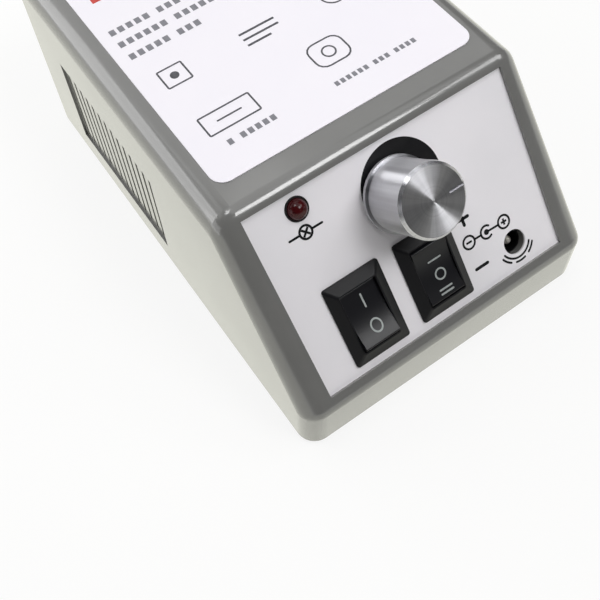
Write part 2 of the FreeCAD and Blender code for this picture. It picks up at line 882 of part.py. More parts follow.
def bush_nut():
    """The hexagonal nut that clamps the potentiometer."""
    nut = hexagon(nut_across_flats, nut_height, washer_thickness)
    return nut.cut(rod(bush_radius + core_clearance, 2 * bush_reach))


# ---- Lamp ---------------------------------------------------------------------------------
def lamp_lens():
    """The round-nosed indicator lamp with its foot flange."""
    straight = lamp_rise - lamp_radius
    dome = Part.makeSphere(lamp_radius, Vector(0, 0, straight))
    stem = rod(lamp_radius, straight + lamp_holder_depth, bottom=-lamp_holder_depth)
    foot = rod(lamp_radius + lamp_foot_reach, lamp_foot_height, bottom=-lamp_holder_depth - lamp_foot_height)
    cap = dome.common(rod(2 * lamp_radius, 2 * lamp_radius, bottom=straight))
    return joined([stem, cap, foot])


def lamp_holder():
    """The black sleeve that grips the lamp and clips into the wall."""
    inner = lamp_radius + core_clearance
    outer = lamp_radius + lamp_holder_wall
    behind = -face_grip
    flange = outer + lamp_holder_flange
    profile = [
        (inner, -lamp_holder_depth),
        (outer, -lamp_holder_depth),
        (flange, behind - lamp_barb_height),
        (flange, behind),
        (outer, behind),
        (outer, lamp_holder_rise),
        (inner, lamp_holder_rise),
    ]
    return turned(profile)


def lamp_leads():
    """The two wire leads of the lamp."""
    leads = []
    top = -lamp_holder_depth - lamp_foot_height
    for side in (-1, 1):
        place = (side * lamp_lead_spacing / 2, 0)
        leads.append(rod(lamp_lead_radius, lamp_lead_length, place, top - lamp_lead_length))
    return grouped(leads)


# ---- Output jack -----------------------------------------------------------------------------
def jack_body():
    """The output socket behind the sloping wall."""
    top = -face_grip
    collar = rod(jack_collar_radius, jack_collar_depth, bottom=top - jack_collar_depth)
    block_depth = jack_depth - jack_collar_depth
    block = box(jack_block, jack_block, block_depth, bottom=top - jack_depth)
    bore = rod(jack_bore_radius, jack_bore_depth, bottom=top - jack_bore_depth)
    seat = rod(jack_shoulder_radius, jack_depth, bottom=top - jack_depth)
    room_reach = jack_bore_radius + jack_spring_reach + jack_spring_gap
    spring_room = box(
        jack_spring_width + 2 * jack_spring_gap,
        room_reach,
        jack_spring_length + 2 * jack_spring_gap,
        (0, -room_reach / 2),
        top - jack_bore_depth,
    )
    return without(joined([collar, block]), [bore, seat, spring_room])


def jack_pin():
    """The centre contact of the output socket, with its moulded-in shoulder and solder lug."""
    floor = -face_grip - jack_bore_depth
    back = -face_grip - jack_depth
    tip = -jack_pin_sink
    blunt = jack_pin_radius / 2
    profile = [
        (0, back - jack_lug_length),
        (jack_lug_radius, back - jack_lug_length),
        (jack_lug_radius, back),
        (jack_shoulder_radius, back),
        (jack_shoulder_radius, floor),
        (jack_pin_radius, floor),
        (jack_pin_radius, tip - blunt),
        (blunt, tip),
        (0, tip),
    ]
    return turned(profile)


def jack_spring():
    """The side contact of the output socket, a bent strip."""
    outer = -(jack_bore_radius + jack_spring_reach)
    contact = -(jack_bore_radius + jack_spring_contact)
    foot = -face_grip - jack_bore_depth + jack_spring_gap
    bend = foot + jack_spring_height
    inner = outer + jack_spring_thickness
    side = -jack_spring_width / 2
    outline = [
        (side, outer, foot),
        (side, outer, foot + jack_spring_length - jack_spring_gap),
        (side, contact, bend),
        (side, inner, bend - jack_spring_thickness),
        (side, inner, foot),
    ]
    return prism(outline, Vector(jack_spring_width, 0, 0))


# ---- Circuit board ---------------------------------------------------------------------------
def board_floor():
    """Height of the board's underside."""
    return base_thickness + board_standoff


def board_top():
    """Height of the board's upper face."""
    return board_floor() + board_thickness


def board_hole_places():
    """Where the board is screwed to its standoffs."""
    side = board_width / 2 - board_hole_inset
    front = board_front + board_hole_inset
    rear = board_front + board_length - board_hole_inset
    return [(-side, front), (side, front), (-side, rear), (side, rear)]


def circuit_board():
    """The control board."""
    middle = (0, board_front + board_length / 2)
    board = box(board_width, board_length, board_thickness, middle, board_floor())
    depth = 2 * board_top()
    holes = [rod(board_screw_radius + hole_clearance, depth, place) for place in board_hole_places()]
    return without(board, holes)


def board_screws():
    """Four screws that hold the board."""
    screws = []
    for place in board_hole_places():
        head = (board_screw_head, board_screw_head_height, board_screw_socket)
        screws.append(screw(board_screw_radius, board_screw_length, head, place, board_top(), False))
    return grouped(screws)


def capacitor():
    """The smoothing capacitor: a sleeved can with a rolled groove near its foot."""
    radius = capacitor_radius
    neck = radius - capacitor_groove_depth
    groove = capacitor_groove_height
    groove_top = groove + capacitor_groove_width
    profile = [
        (0, 0),
        (radius, 0),
        (radius, groove),
        (neck, groove),
        (neck, groove_top),
        (radius, groove_top),
        (radius, capacitor_height),
        (0, capacitor_height),
    ]
    can = turned(profile)
    can.translate(Vector(*capacitor_place, board_top()))
    return can


def heatsink():
    """The finned aluminium cooler of the motor driver."""
    x, y = heatsink_place
    pieces = [box(heatsink_width, heatsink_plate, heatsink_height, heatsink_place, board_top())]
    pitch = (heatsink_width - heatsink_fin) / (heatsink_fin_count - 1)
    behind = y + (heatsink_plate + heatsink_fin_depth) / 2
    for index in range(heatsink_fin_count):
        place = (x + pitch * (index - (heatsink_fin_count - 1) / 2), behind)
        pieces.append(box(heatsink_fin, heatsink_fin_depth, heatsink_height, place, board_top()))
    return joined(pieces)


def driver_transistor():
    """The power transistor, its tab flat on the heatsink, on three legs."""
    x, y = heatsink_place
    face = y - heatsink_plate / 2
    foot = board_top() + transistor_lift
    tab_place = (x, face - transistor_tab_thickness / 2)
    body_place = (x, face - transistor_body_thickness / 2)
    pieces = [
        box(transistor_width, transistor_tab_thickness, transistor_tab_height, tab_place, foot),
        box(transistor_width, transistor_body_thickness, transistor_body_height, body_place, foot),
    ]
    for index in (-1, 0, 1):
        place = (x + transistor_leg_pitch * index, body_place[1])
        length = transistor_lift + transistor_leg_root
        pieces.append(box(transistor_leg_width, transistor_leg_thickness, length, place, board_top()))
    return joined(pieces)


def fuse_axis():
    """Height of the fuse's axis."""
    return board_top() + fuse_axis_height


def fuse_bar(radius, start, length):
    """A bar along X on the fuse's axis; `start` is measured from its middle."""
    x, y = fuse_place
    return Part.makeCylinder(radius, length, Vector(x + start, y, fuse_axis()), Vector(1, 0, 0))


def fuse_glass():
    """The glass tube of the fuse."""
    length = fuse_length - 2 * fuse_cap_wall
    return fuse_bar(fuse_radius - fuse_cap_wall, -length / 2, length)


def fuse_caps():
    """The two metal end caps of the fuse."""
    glass = fuse_glass()
    starts = (-fuse_length / 2, fuse_length / 2 - fuse_cap_length)
    return grouped([fuse_bar(fuse_radius, start, fuse_cap_length).cut(glass) for start in starts])


def fuse_clips():
    """The two spring clips that hold the fuse's caps."""
    x, y = fuse_place
    clips = []
    for end in (-1, 1):
        middle = end * (fuse_length - fuse_cap_length) / 2
        ring = fuse_bar(fuse_radius + clip_thickness, middle - clip_width / 2, clip_width)
        foot = box(clip_width, clip_foot, fuse_axis_height, (x + middle, y), board_top())
        bore = fuse_bar(fuse_radius, middle - clip_width / 2, clip_width)
        mouth = box(clip_width, clip_mouth, 2 * fuse_radius, (x + middle, y), fuse_axis() + clip_grip)
        clips.append(without(joined([ring, foot]), [bore, mouth]))
    return grouped(clips)


def bent_lead(x, y, height):
    """A diode's flat lead: up from the board, along Y and down again."""
    outer = diode_lead_span / 2
    inner = outer - diode_lead_width
    top = height + diode_lead_width / 2
    under = height - diode_lead_width / 2
    foot = board_top()
    profile = [(-outer, foot), (-outer, top), (outer, top), (outer, foot), (inner, foot), (inner, under)]
    profile += [(-inner, under), (-inner, foot)]
    side = x - diode_lead_width / 2
    outline = [(side, y + along, level) for along, level in profile]
    return prism(outline, Vector(diode_lead_width, 0, 0))


def diodes():
    """Rectifier diodes lying on the board, their leads bent down."""
    first, y = diode_row_place
    height = board_top() + diode_radius + diode_lift
    row = []
    for index in range(diode_count):
        x = first + diode_pitch * index
        start = Vector(x, y - diode_length / 2, height)
        body = Part.makeCylinder(diode_radius, diode_length, start, Vector(0, 1, 0))
        row.append(joined([body, bent_lead(x, y, height)]))
    return grouped(row)


# ---- Transformer --------------------------------------------------------------------------------
def strap_places():
    """Where the transformer's strap is screwed down."""
    side = core_width / 2 + strap_foot / 2 + strap_thickness / 2
    return [(-side, transformer_middle), (side, transformer_middle)]


def transformer_core():
    """The stack of E and I plates with its two windows."""
    block = box(core_width, core_stack, core_height, (0, transformer_middle), core_floor)
    window_width = (core_width - 4 * core_limb) / 2
    window_height = core_height - 2 * core_limb
    windows = []
    for side in (-1, 1):
        x = side * (core_limb + window_width / 2)
        place = (x, transformer_middle)
        windows.append(box(window_width, 2 * core_stack, window_height, place, core_floor + core_limb))
    return without(block, windows)


def transformer_coil():
    """The wound bobbin round the core's middle limb."""
    window_height = core_height - 2 * core_limb
    height = window_height - 2 * coil_fit
    width = 2 * core_limb + (core_width - 4 * core_limb) - 2 * coil_fit
    length = core_stack + 2 * coil_overhang
    bottom = core_floor + core_limb + coil_fit
    coil = box(width, length, height, (0, transformer_middle), bottom)
    upright = edges_near(coil, lambda p: abs(p.z - bottom - height / 2) < 0.01)
    coil = coil.makeFillet(coil_corner, upright)
    limb = box(2 * core_limb, core_stack, height * 2, (0, transformer_middle), bottom - height / 2)
    return coil.cut(limb)


def transformer_strap():
    """The steel strap bent over the core, with a foot each side."""
    outer_width = core_width + 2 * strap_thickness
    top = core_floor + core_height
    foot_bottom = core_floor - strap_thickness
    height = top + strap_thickness - foot_bottom
    place = (0, transformer_middle)
    outer = box(outer_width, core_stack, height, place, foot_bottom)
    inner = box(core_width, 2 * core_stack, top - foot_bottom, place, foot_bottom)
    bow = outer.cut(inner)
    feet = []
    for x, y in strap_places():
        length = core_stack * strap_foot_share
        feet.append(box(strap_foot + strap_thickness, length, strap_thickness, (x, y), foot_bottom))
    strap = joined([bow] + feet)
    depth = 2 * core_floor
    holes = [rod(strap_screw_radius + hole_clearance, depth, place) for place in strap_places()]
    return without(strap, holes)


def transformer_screws():
    """Two screws that hold the strap."""
    screws = []
    for place in strap_places():
        head = (strap_screw_head, strap_screw_head_height, strap_screw_socket)
        screws.append(screw(strap_screw_radius, strap_screw_length, head, place, core_floor, False))
    return grouped(screws)


# ---- Pieces of the unit ----------------------------------------------------------------------------
def pieces():
    """Every node of the unit, in the case's own place."""
    power, direction = power_switch_place, direction_switch_place
    return {
        "upper_housing": upper_housing(),
        "base_plate": base_plate(),
        "front_panel": front_panel(),
        "top_label": top_label(),
        "vent_grille_left": vent_grille(-1),
        "vent_grille_right": vent_grille(1),
        "case_screws": case_screws(),
        "rubber_feet": rubber_feet(),
        "cord_bushing": cord_bushing(),
        "power_switch_body": on_sheet(fitted_switch_body(1, 2), power),
        "power_switch_terminals": on_sheet(switch_terminals(1, 2), power),
        "power_rocker": on_sheet(rocker(-rocker_swing), power),
        "direction_switch_body": on_sheet(fitted_switch_body(2, 3), direction),
        "direction_switch_terminals": on_sheet(switch_terminals(2, 3), direction),
        "direction_rocker": on_sheet(rocker(0.0), direction),
        "knob_cap": on_sheet(knob_cap(), knob_place),
        "knob_core": on_sheet(knob_core(), knob_place),
        "potentiometer_shaft": on_sheet(potentiometer_shaft(), knob_place),
        "potentiometer_bush": on_sheet(potentiometer_bush(), knob_place),
        "potentiometer_case": on_sheet(potentiometer_case(), knob_place),
        "potentiometer_track": on_sheet(potentiometer_track(), knob_place),
        "potentiometer_washer": on_sheet(washer(), knob_place),
        "potentiometer_nut": on_sheet(bush_nut(), knob_place),
        "lamp_lens": on_sheet(lamp_lens(), lamp_place),
        "lamp_holder": on_sheet(lamp_holder(), lamp_place),
        "lamp_leads": on_sheet(lamp_leads(), lamp_place),
        "jack_body": on_sheet(jack_body(), jack_place),
        "jack_pin": on_sheet(jack_pin(), jack_place),
        "jack_spring": on_sheet(jack_spring(), jack_place),
        "circuit_board": circuit_board(),
        "board_screws": board_screws(),
        "capacitor": capacitor(),
        "heatsink": heatsink(),
        "driver_transistor": driver_transistor(),
        "fuse_glass": fuse_glass(),
        "fuse_caps": fuse_caps(),
        "fuse_clips": fuse_clips(),
        "diodes": diodes(),
        "transformer_core": transformer_core(),
        "transformer_coil": transformer_coil(),
        "transformer_strap": transformer_strap(),
        "transformer_screws": transformer_screws(),
    }


def main():
    """Writes one STEP file for each node."""
    os.makedirs("parts", exist_ok=True)
    for name, shape in pieces().items():
        placed = shape.copy()
        placed.translate(FRAME_SHIFT)
        placed.exportStep(f"parts/{name}.step")
        print(f"{name}: {len(placed.Solids)} solid(s), {placed.Volume:.1f} mm3, valid {placed.isValid()}")


main()
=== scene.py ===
"""Looks of a desktop control unit: a wedge-shaped moulded case with a sloping control face.

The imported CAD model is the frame. This file dresses its nodes, adds the printing that lies on
them, and sets up the studio and the camera. Lengths are in metres, apart from names that end
in _mm and the flat print, which is drawn in millimetres.
"""

import json
import logging
import math
from dataclasses import dataclass, field
from enum import Enum
from typing import ClassVar, Iterable, Sequence

import bmesh
import bpy
from mathutils import Matrix, Vector
from mathutils.bvhtree import BVHTree


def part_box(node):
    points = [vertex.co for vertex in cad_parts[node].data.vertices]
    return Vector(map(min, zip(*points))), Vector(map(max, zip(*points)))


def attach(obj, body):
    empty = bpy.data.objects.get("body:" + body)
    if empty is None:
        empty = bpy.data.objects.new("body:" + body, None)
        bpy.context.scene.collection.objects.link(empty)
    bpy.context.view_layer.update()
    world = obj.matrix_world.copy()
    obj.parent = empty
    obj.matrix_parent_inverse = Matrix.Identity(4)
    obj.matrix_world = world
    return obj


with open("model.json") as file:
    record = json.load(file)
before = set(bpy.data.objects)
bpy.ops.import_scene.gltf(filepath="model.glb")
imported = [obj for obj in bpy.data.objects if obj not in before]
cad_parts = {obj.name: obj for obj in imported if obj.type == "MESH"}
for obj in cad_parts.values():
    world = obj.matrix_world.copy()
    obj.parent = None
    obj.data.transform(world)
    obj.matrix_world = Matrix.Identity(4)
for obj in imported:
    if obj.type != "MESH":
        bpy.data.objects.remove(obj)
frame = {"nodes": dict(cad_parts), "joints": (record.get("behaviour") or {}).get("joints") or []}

LOG = logging.getLogger("control_unit")
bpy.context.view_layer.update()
MM = 0.001
WAVE_PERIOD = math.tau / 20  # length of one band of Blender's wave texture at a scale of 1
NOISE_RANGE = (0.3, 0.7)  # nearly all values of a noise texture lie between these
WHITE = (1.0, 1.0, 1.0, 1.0)

Point = tuple[float, float]
Place = tuple[float, float, float]
Outline = list[Point]
Socket = bpy.types.NodeSocket


# ---------------- shared tools
def linear(colour: str) -> tuple[float, float, float, float]:
    """Turns an sRGB hex colour into the linear values that a shader takes.

    Args:
        colour: The colour as "#rrggbb".

    Returns:
        Linear red, green and blue, and an alpha of 1.
    """
    channels = [int(colour[i:i + 2], 16) / 255 for i in (1, 3, 5)]
    red, green, blue = (c / 12.92 if c <= 0.04045 else ((c + 0.055) / 1.055) ** 2.4
                        for c in channels)
    return red, green, blue, 1.0


def per_metre(pitch_mm: float) -> float:
    """The texture scale that repeats a pattern every pitch_mm millimetres."""
    return 1 / (pitch_mm * MM)


class Nodes:
    """A node tree that is being filled.

    Attributes:
        tree: Blender's node tree.
    """

    def __init__(self, tree: bpy.types.NodeTree) -> None:
        """Takes a tree and empties it."""
        self.tree = tree
        tree.nodes.clear()

    def fill(self, socket: Socket, value: object) -> None:
        """Feeds one input.

        Args:
            socket: The input.
            value: A constant, or the output socket that it is linked to.
        """
        if isinstance(value, bpy.types.NodeSocket):
            self.tree.links.new(value, socket)
        else:
            socket.default_value = value

    def add(self, kind: str, *terms: object, **settings: object) -> bpy.types.Node:
        """Adds one node.

        Args:
            kind: Blender's name of the node type, without "ShaderNode".
            terms: What its first inputs are fed with, in order.
            settings: Its properties, and what its other inputs are fed with; an underscore in
                the name of an input stands for a space.

        Returns:
            The new node.
        """
        node = self.tree.nodes.new("ShaderNode" + kind)
        for name, value in settings.items():
            if hasattr(node, name):
                setattr(node, name, value)
            else:
                self.fill(node.inputs[name.replace("_", " ")], value)
        for socket, value in zip(node.inputs, terms):
            self.fill(socket, value)
        return node

    def number(self, operation: str, *terms: object) -> Socket:
        """The result of arithmetic on numbers, each a constant or a socket."""
        return self.add("Math", *terms, operation=operation).outputs["Value"]

    def vector(self, operation: str, *terms: object, out: str = "Vector") -> Socket:
        """The result of arithmetic on vectors, each a constant or a socket."""
        return self.add("VectorMath", *terms, operation=operation).outputs[out]

    def noise(self, place: Socket, scale: float, detail: float, roughness: float = 0.5) -> Socket:
        """The value of a noise texture; detail and roughness say how broken its patches are."""
        node = self.add("TexNoise", Vector=place, Scale=scale, Detail=detail, Roughness=roughness)
        return node.outputs["Fac"]

    def span(self, value: Socket, low: float | Socket, high: float, ends: Point = (0.0, 1.0),
             kind: str = "LINEAR") -> Socket:
        """Maps a value's own range, given by its ends, onto low to high, and holds it there."""
        node = self.add("MapRange", value, *ends, low, high, interpolation_type=kind)
        return node.outputs["Result"]

    def blend(self, level: Socket, colours: Sequence[str], ends: Point) -> Socket:
        """Blends two colours by a level.

        Args:
            level: The level.
            colours: The colour at each end.
            ends: The level at each end.

        Returns:
            The colour socket.
        """
        ramp = self.add("ValToRGB", level)
        for stop, colour, end in zip(ramp.color_ramp.elements, colours, ends):
            stop.position, stop.color = end, linear(colour)
        return ramp.outputs["Color"]

    def mottle(self, place: Socket, colours: Sequence[str], pitch_mm: float,
               detail: float = 3.0) -> Socket:
        """Soft drift between two near colours, as between batches of pigment or ink."""
        return self.blend(self.noise(place, per_metre(pitch_mm), detail), colours, NOISE_RANGE)

    def spread(self, place: Socket, low: float, high: float, pitch_mm: float) -> Socket:
        """A value that drifts from low to high, such as the gloss where it was handled."""
        return self.span(self.noise(place, per_metre(pitch_mm), detail=4.0), low, high, NOISE_RANGE)

    def relief(self, height: Socket, depth_mm: float, strength: float,
               base: Socket | None = None) -> Socket:
        """Turns a height pattern into a shading normal.

        Args:
            height: The pattern, from 0 to 1.
            depth_mm: Height of the pattern.
            strength: Share of the full effect.
            base: A normal that the pattern lies on.

        Returns:
            The normal socket.
        """
        bump = self.add("Bump", Strength=strength, Distance=depth_mm * MM, Height=height)
        if base is not None:
            self.fill(bump.inputs["Normal"], base)
        return bump.outputs["Normal"]

    def edges(self, radius_mm: float) -> Socket:
        """The normal with sharp edges eased to a radius, which lets them catch light."""
        return self.add("Bevel", samples=4, Radius=radius_mm * MM).outputs["Normal"]


class Look(Nodes):
    """A node material that is being made.

    Attributes:
        material: The material.
        shader: Its principled shader.
        out: Its output node.
        place: Coordinates in metres, fixed to the piece.
    """

    def __init__(self, name: str) -> None:
        """Makes the material, with its shader joined to its output.

        Args:
            name: The material's name.
        """
        self.material = bpy.data.materials.new(name)
        self.material.use_nodes = True
        super().__init__(self.material.node_tree)
        self.shader = self.add("BsdfPrincipled")
        self.out = self.add("OutputMaterial", self.shader.outputs["BSDF"])
        self.place = self.add("TexCoord").outputs["Object"]

    def feed(self, **values: object) -> None:
        """Feeds the shader's own inputs; an underscore in a name stands for a space."""
        for name, value in values.items():
            self.fill(self.shader.inputs[name.replace("_", " ")], value)


# ---------------- finishes
@dataclass(frozen=True)
class Finish:
    """A finish on one real material."""

    name: str
    colour: str  # main colour
    shade: str  # near colour that the main one drifts to
    roughness: float

    CLOUD_MM: ClassVar[float] = 9.0  # size of a patch of colour
    CLOUD_DETAIL: ClassVar[float] = 3.0  # how broken those patches are
    WEAR_MM: ClassVar[float] = 14.0  # size of a patch of gloss
    WEAR: ClassVar[Point] = (0.02, 0.02)  # drift of the roughness below and above its mean

    def make(self) -> bpy.types.Material:
        """Makes the material once, for every piece that shares it.

        Returns:
            The material.
        """
        found = bpy.data.materials.get(self.name)
        if found is not None:
            return found
        look = Look(self.name)
        self.dress(look)
        return look.material

    def cloud(self, look: Look) -> Socket:
        """The main colour, drifting to its shade."""
        return look.mottle(look.place, (self.colour, self.shade), self.CLOUD_MM, self.CLOUD_DETAIL)

    def wear(self, look: Look) -> Socket:
        """The roughness, drifting round its mean."""
        low, high = self.roughness - self.WEAR[0], self.roughness + self.WEAR[1]
        return look.spread(look.place, low, high, self.WEAR_MM)

    def dress(self, look: Look) -> None:
        """Fills the material; each kind of finish has its own way."""
        raise NotImplementedError


@dataclass(frozen=True)
class MouldedPlastic(Finish):
    """Injection-moulded plastic: the mould's fine eroded grain, soft gloss, eased edges."""

    grain_mm: float = 0.45  # pitch, coarser than real (about 0.1 mm), to show at arm's length
    grain_depth_mm: float = 0.02
    edge_mm: float = 0.15
    ior: float = 1.5
    sheen: float = 0.5  # level of its mirror reflection
    skin: float = 0.0  # weight of the gloss skin that the polished mould leaves

    def dress(self, look: Look) -> None:
        """Drifting pigment, a gloss that varies where it is handled, and the grain.

        Args:
            look: The material.
        """
        grain = look.noise(look.place, per_metre(self.grain_mm), detail=3.0, roughness=0.6)
        eased = look.edges(self.edge_mm)
        look.feed(Base_Color=self.cloud(look), Roughness=self.wear(look), IOR=self.ior,
                  Normal=look.relief(grain, self.grain_depth_mm, strength=0.6, base=eased),
                  Specular_IOR_Level=self.sheen, Coat_Weight=self.skin, Coat_Roughness=0.1)


@dataclass(frozen=True)
class PrintedFilm(Finish):
    """White film over print or adhesive: a flat, faintly waved sheet with an even gloss."""

    wave_mm: float = 7.0  # pitch of the waves that the adhesive leaves
    tooth_mm: float = 0.3  # pitch of the film's fine tooth, coarser than real (about 0.05 mm)
    coat: float = 0.15  # weight of the clear layer

    CLOUD_MM = 22.0
    WEAR_MM = 18.0
    WEAR = (0.04, 0.04)

    def dress(self, look: Look) -> None:
        """White with a slow drift, long low waves and a fine tooth.

        Args:
            look: The material.
        """
        wave = look.noise(look.place, per_metre(self.wave_mm), detail=1.0)
        tooth = look.noise(look.place, per_metre(self.tooth_mm), detail=2.0)
        waved = look.relief(wave, depth_mm=0.03, strength=0.5, base=look.edges(0.08))
        look.feed(Base_Color=self.cloud(look), Roughness=self.wear(look),
                  Normal=look.relief(tooth, depth_mm=0.006, strength=0.5, base=waved),
                  IOR=1.55, Coat_Weight=self.coat, Coat_Roughness=0.12)


@dataclass(frozen=True)
class PrintedInk(Finish):
    """Screen or pad ink: a thin, dense layer with the mesh of the screen left in it."""

    mesh_mm: float = 0.25  # pitch of the printing screen, coarser than real (about 0.1 mm)

    CLOUD_MM = 0.9
    WEAR_MM = 2.0
    WEAR = (0.06, 0.06)

    def dress(self, look: Look) -> None:
        """Dense pigment with small thin places and the screen's low pattern.

        Args:
            look: The material.
        """
        mesh = look.add("TexVoronoi", Vector=look.place, Scale=per_metre(self.mesh_mm))
        look.feed(Base_Color=self.cloud(look), Roughness=self.wear(look),
                  Normal=look.relief(mesh.outputs["Distance"], depth_mm=0.01, strength=0.4),
                  IOR=1.5, Specular_IOR_Level=0.25)


@dataclass(frozen=True)
class TurnedAluminium(Finish):
    """Aluminium turned on a lathe: fine rings about one axis, which draw the light out into bright
    streaks from the middle to the rim; streaks by angle are also painted into its colour as bright
    and dark sectors.
    """

    centre: Place = (0.0, 0.0, 0.0)  # a point on the axis
    axis: Place = (0.0, 0.0, 1.0)  # direction of the axis
    ring_mm: float = 0.22  # pitch of the tool's rings, coarser than real (a feed of about 0.08 mm)
    # The streaks by angle are painted: they also shift the colour between dull and bright, as a
    # highlight would.
    painted_streak_scale: float = 2.2  # how finely the streaks break up round the axis
    anisotropy: float = 0.98  # how far the rings draw a highlight out
    rim_roughness: float = 0.24  # roughness of the slanted rim, which a diamond tool cuts last

    WEAR = (0.04, 0.04)
    RING_SHARE: ClassVar[float] = 0.35  # strength of the rings beside the streaks
    # levels of the rings and painted streaks at which the colour is painted dull and bright
    PAINTED_SHEEN_ENDS: ClassVar[Point] = (0.45, 0.9)  # marks from which the metal is dull and bright
    GLOSS_ENDS: ClassVar[Point] = (0.4, 1.0)  # marks over which the roughness drifts
    SLANT: ClassVar[Point] = (math.sqrt(0.5), 0.25)  # cosine of the rim to the axis, and its play

    def round_axis(self, look: Look, place: Socket) -> tuple[Socket, Socket]:
        """The arm from the axis to a place, and its ring's direction, as long as the radius."""
        arm = look.vector("SUBTRACT", place, self.centre)
        return arm, look.vector("CROSS_PRODUCT", self.axis, arm)

    def marks(self, look: Look) -> tuple[Socket, Socket]:
        """The tool's rings on the metal, and streaks by angle, which paint bright and dark sectors
        of highlight.

        Args:
            look: The material.

        Returns:
            The rings by distance from the axis, and the same with the painted streaks by angle.
        """
        arm, ring = self.round_axis(look, look.place)
        radius = look.vector("LENGTH", ring, out="Value")
        along = look.vector("DOT_PRODUCT", arm, self.axis, out="Value")
        across = look.add("CombineXYZ", radius, along).outputs["Vector"]
        rings = look.noise(across, per_metre(self.ring_mm), detail=2.0)
        angle = look.vector("NORMALIZE", ring)
        painted_streaks = look.noise(angle, self.painted_streak_scale, detail=3.0, roughness=0.6)
        return rings, look.number("MULTIPLY_ADD", rings, self.RING_SHARE, painted_streaks)

    def dress(self, look: Look) -> None:
        """Rings, streaks by angle painted into the colour as highlight, a finer cut on the rim, and
        a tangent that crosses the rings.

        Args:
            look: The material.
        """
        where = look.add("NewGeometry")
        _, ring = self.round_axis(look, where.outputs["Position"])
        across = look.vector("CROSS_PRODUCT", ring, where.outputs["Normal"])
        rings, marks = self.marks(look)
        satin = look.span(marks, self.roughness - self.WEAR[0], self.roughness + self.WEAR[1],
                          self.GLOSS_ENDS)
        facing = look.vector("DOT_PRODUCT", where.outputs["Normal"], self.axis, out="Value")
        rim = look.number("COMPARE", facing, *self.SLANT)
        # Painted highlight: the streaks by angle turn the colour from the dull shade to the bright
        # colour in broad sectors.
        look.feed(Base_Color=look.blend(marks, (self.shade, self.colour), self.PAINTED_SHEEN_ENDS),
                  Roughness=look.span(rim, satin, self.rim_roughness),
                  Tangent=look.vector("NORMALIZE", across),
                  Normal=look.relief(rings, depth_mm=0.0015, strength=0.25),
                  Metallic=1.0, Anisotropic=self.anisotropy)


@dataclass(frozen=True)
class PlainMetal(Finish):
    """Metal as plated, drawn, ground or extruded: one colour with fine lines or grain."""

    stretch: Place = (1.0, 1.0, 1.0)  # how far the grain is drawn out along X, Y and Z
    grain_mm: float = 0.2  # pitch across the grain, coarser than real (about 0.03 mm)
    edge_mm: float = 0.06

    CLOUD_MM = 2.5
    WEAR = (0.08, 0.08)

    def dress(self, look: Look) -> None:
        """Grain in the colour, the gloss and the relief.

        Args:
            look: The material.
        """
        drawn = look.add("Mapping", Vector=look.place, Scale=self.stretch).outputs["Vector"]
        grain = look.noise(drawn, per_metre(self.grain_mm), detail=3.0)
        gloss = look.span(grain, self.roughness - self.WEAR[0], self.roughness + self.WEAR[1])
        look.feed(Base_Color=self.cloud(look), Roughness=gloss, Metallic=1.0,
                  Normal=look.relief(grain, depth_mm=0.006, strength=0.5,
                                     base=look.edges(self.edge_mm)))


@dataclass(frozen=True)
class ClearBody(Finish):
    """Cast epoxy or drawn glass: light goes in, is tinted and comes out again."""

    clarity: float = 1.0  # share of the light that goes through
    ior: float = 1.5
    sheen: float = 0.5  # level of its mirror reflection

    CLOUD_MM = 1.2
    WEAR_MM = 1.5
    WEAR = (0.0, 0.06)

    def dress(self, look: Look) -> None:
        """Tinted body with faint streaks and a smooth skin."""
        look.feed(Base_Color=self.cloud(look), Roughness=self.wear(look), IOR=self.ior,
                  Specular_IOR_Level=self.sheen, Transmission_Weight=self.clarity)


@dataclass(frozen=True)
class Rubber(Finish):
    """Moulded rubber: nearly matt black with a grey bloom and a soft skin."""

    tooth_mm: float = 0.35  # pitch of the tool's tooth, coarser than real (about 0.1 mm)
    bloom: float = 0.35  # how far the grey bloom shows

    CLOUD_MM = 3.0
    CLOUD_DETAIL = 5.0
    WEAR_MM = 2.5
    WEAR = (0.08, 0.08)

    def dress(self, look: Look) -> None:
        """Bloom in cloudy patches over a fine tooth.

        Args:
            look: The material.
        """
        tooth = look.noise(look.place, per_metre(self.tooth_mm), detail=4.0)
        look.feed(Base_Color=self.cloud(look), Roughness=self.wear(look),
                  Normal=look.relief(tooth, depth_mm=0.03, strength=0.5, base=look.edges(0.2)),
                  IOR=1.52, Sheen_Weight=self.bloom, Sheen_Roughness=0.5)


@dataclass(frozen=True)
class BoardLaminate(Finish):
    """Glass-fibre laminate under solder mask: green, with paler tracks showing through."""

    track: str = "#2f7a4c"  # colour of the mask over copper
    track_mm: float = 2.54  # pitch of the tracks
    weave_mm: float = 0.5  # pitch of the glass cloth

    WEAR_MM = 4.0
    WEAR = (0.05, 0.1)

    def dress(self, look: Look) -> None:
        """Tracks as a jointed grid, raised a little over the weave of the glass.

        Args:
            look: The material.
        """
        tracks = look.add("TexBrick", Vector=look.place, Scale=per_metre(self.track_mm),
                          Mortar_Size=0.12, Brick_Width=4.0, Row_Height=1.0,
                          Color1=linear(self.colour), Color2=linear(self.shade),
                          Mortar=linear(self.track))
        weave = look.add("TexWave", Vector=look.place, Distortion=1.0,
                         Scale=per_metre(self.weave_mm) * WAVE_PERIOD)
        woven = look.relief(weave.outputs["Fac"], depth_mm=0.01, strength=0.3)
        look.feed(Base_Color=tracks.outputs["Color"], Roughness=self.wear(look),
                  Normal=look.relief(tracks.outputs["Fac"], 0.035, strength=0.8, base=woven),
                  IOR=1.55, Coat_Weight=0.3, Coat_Roughness=0.2)


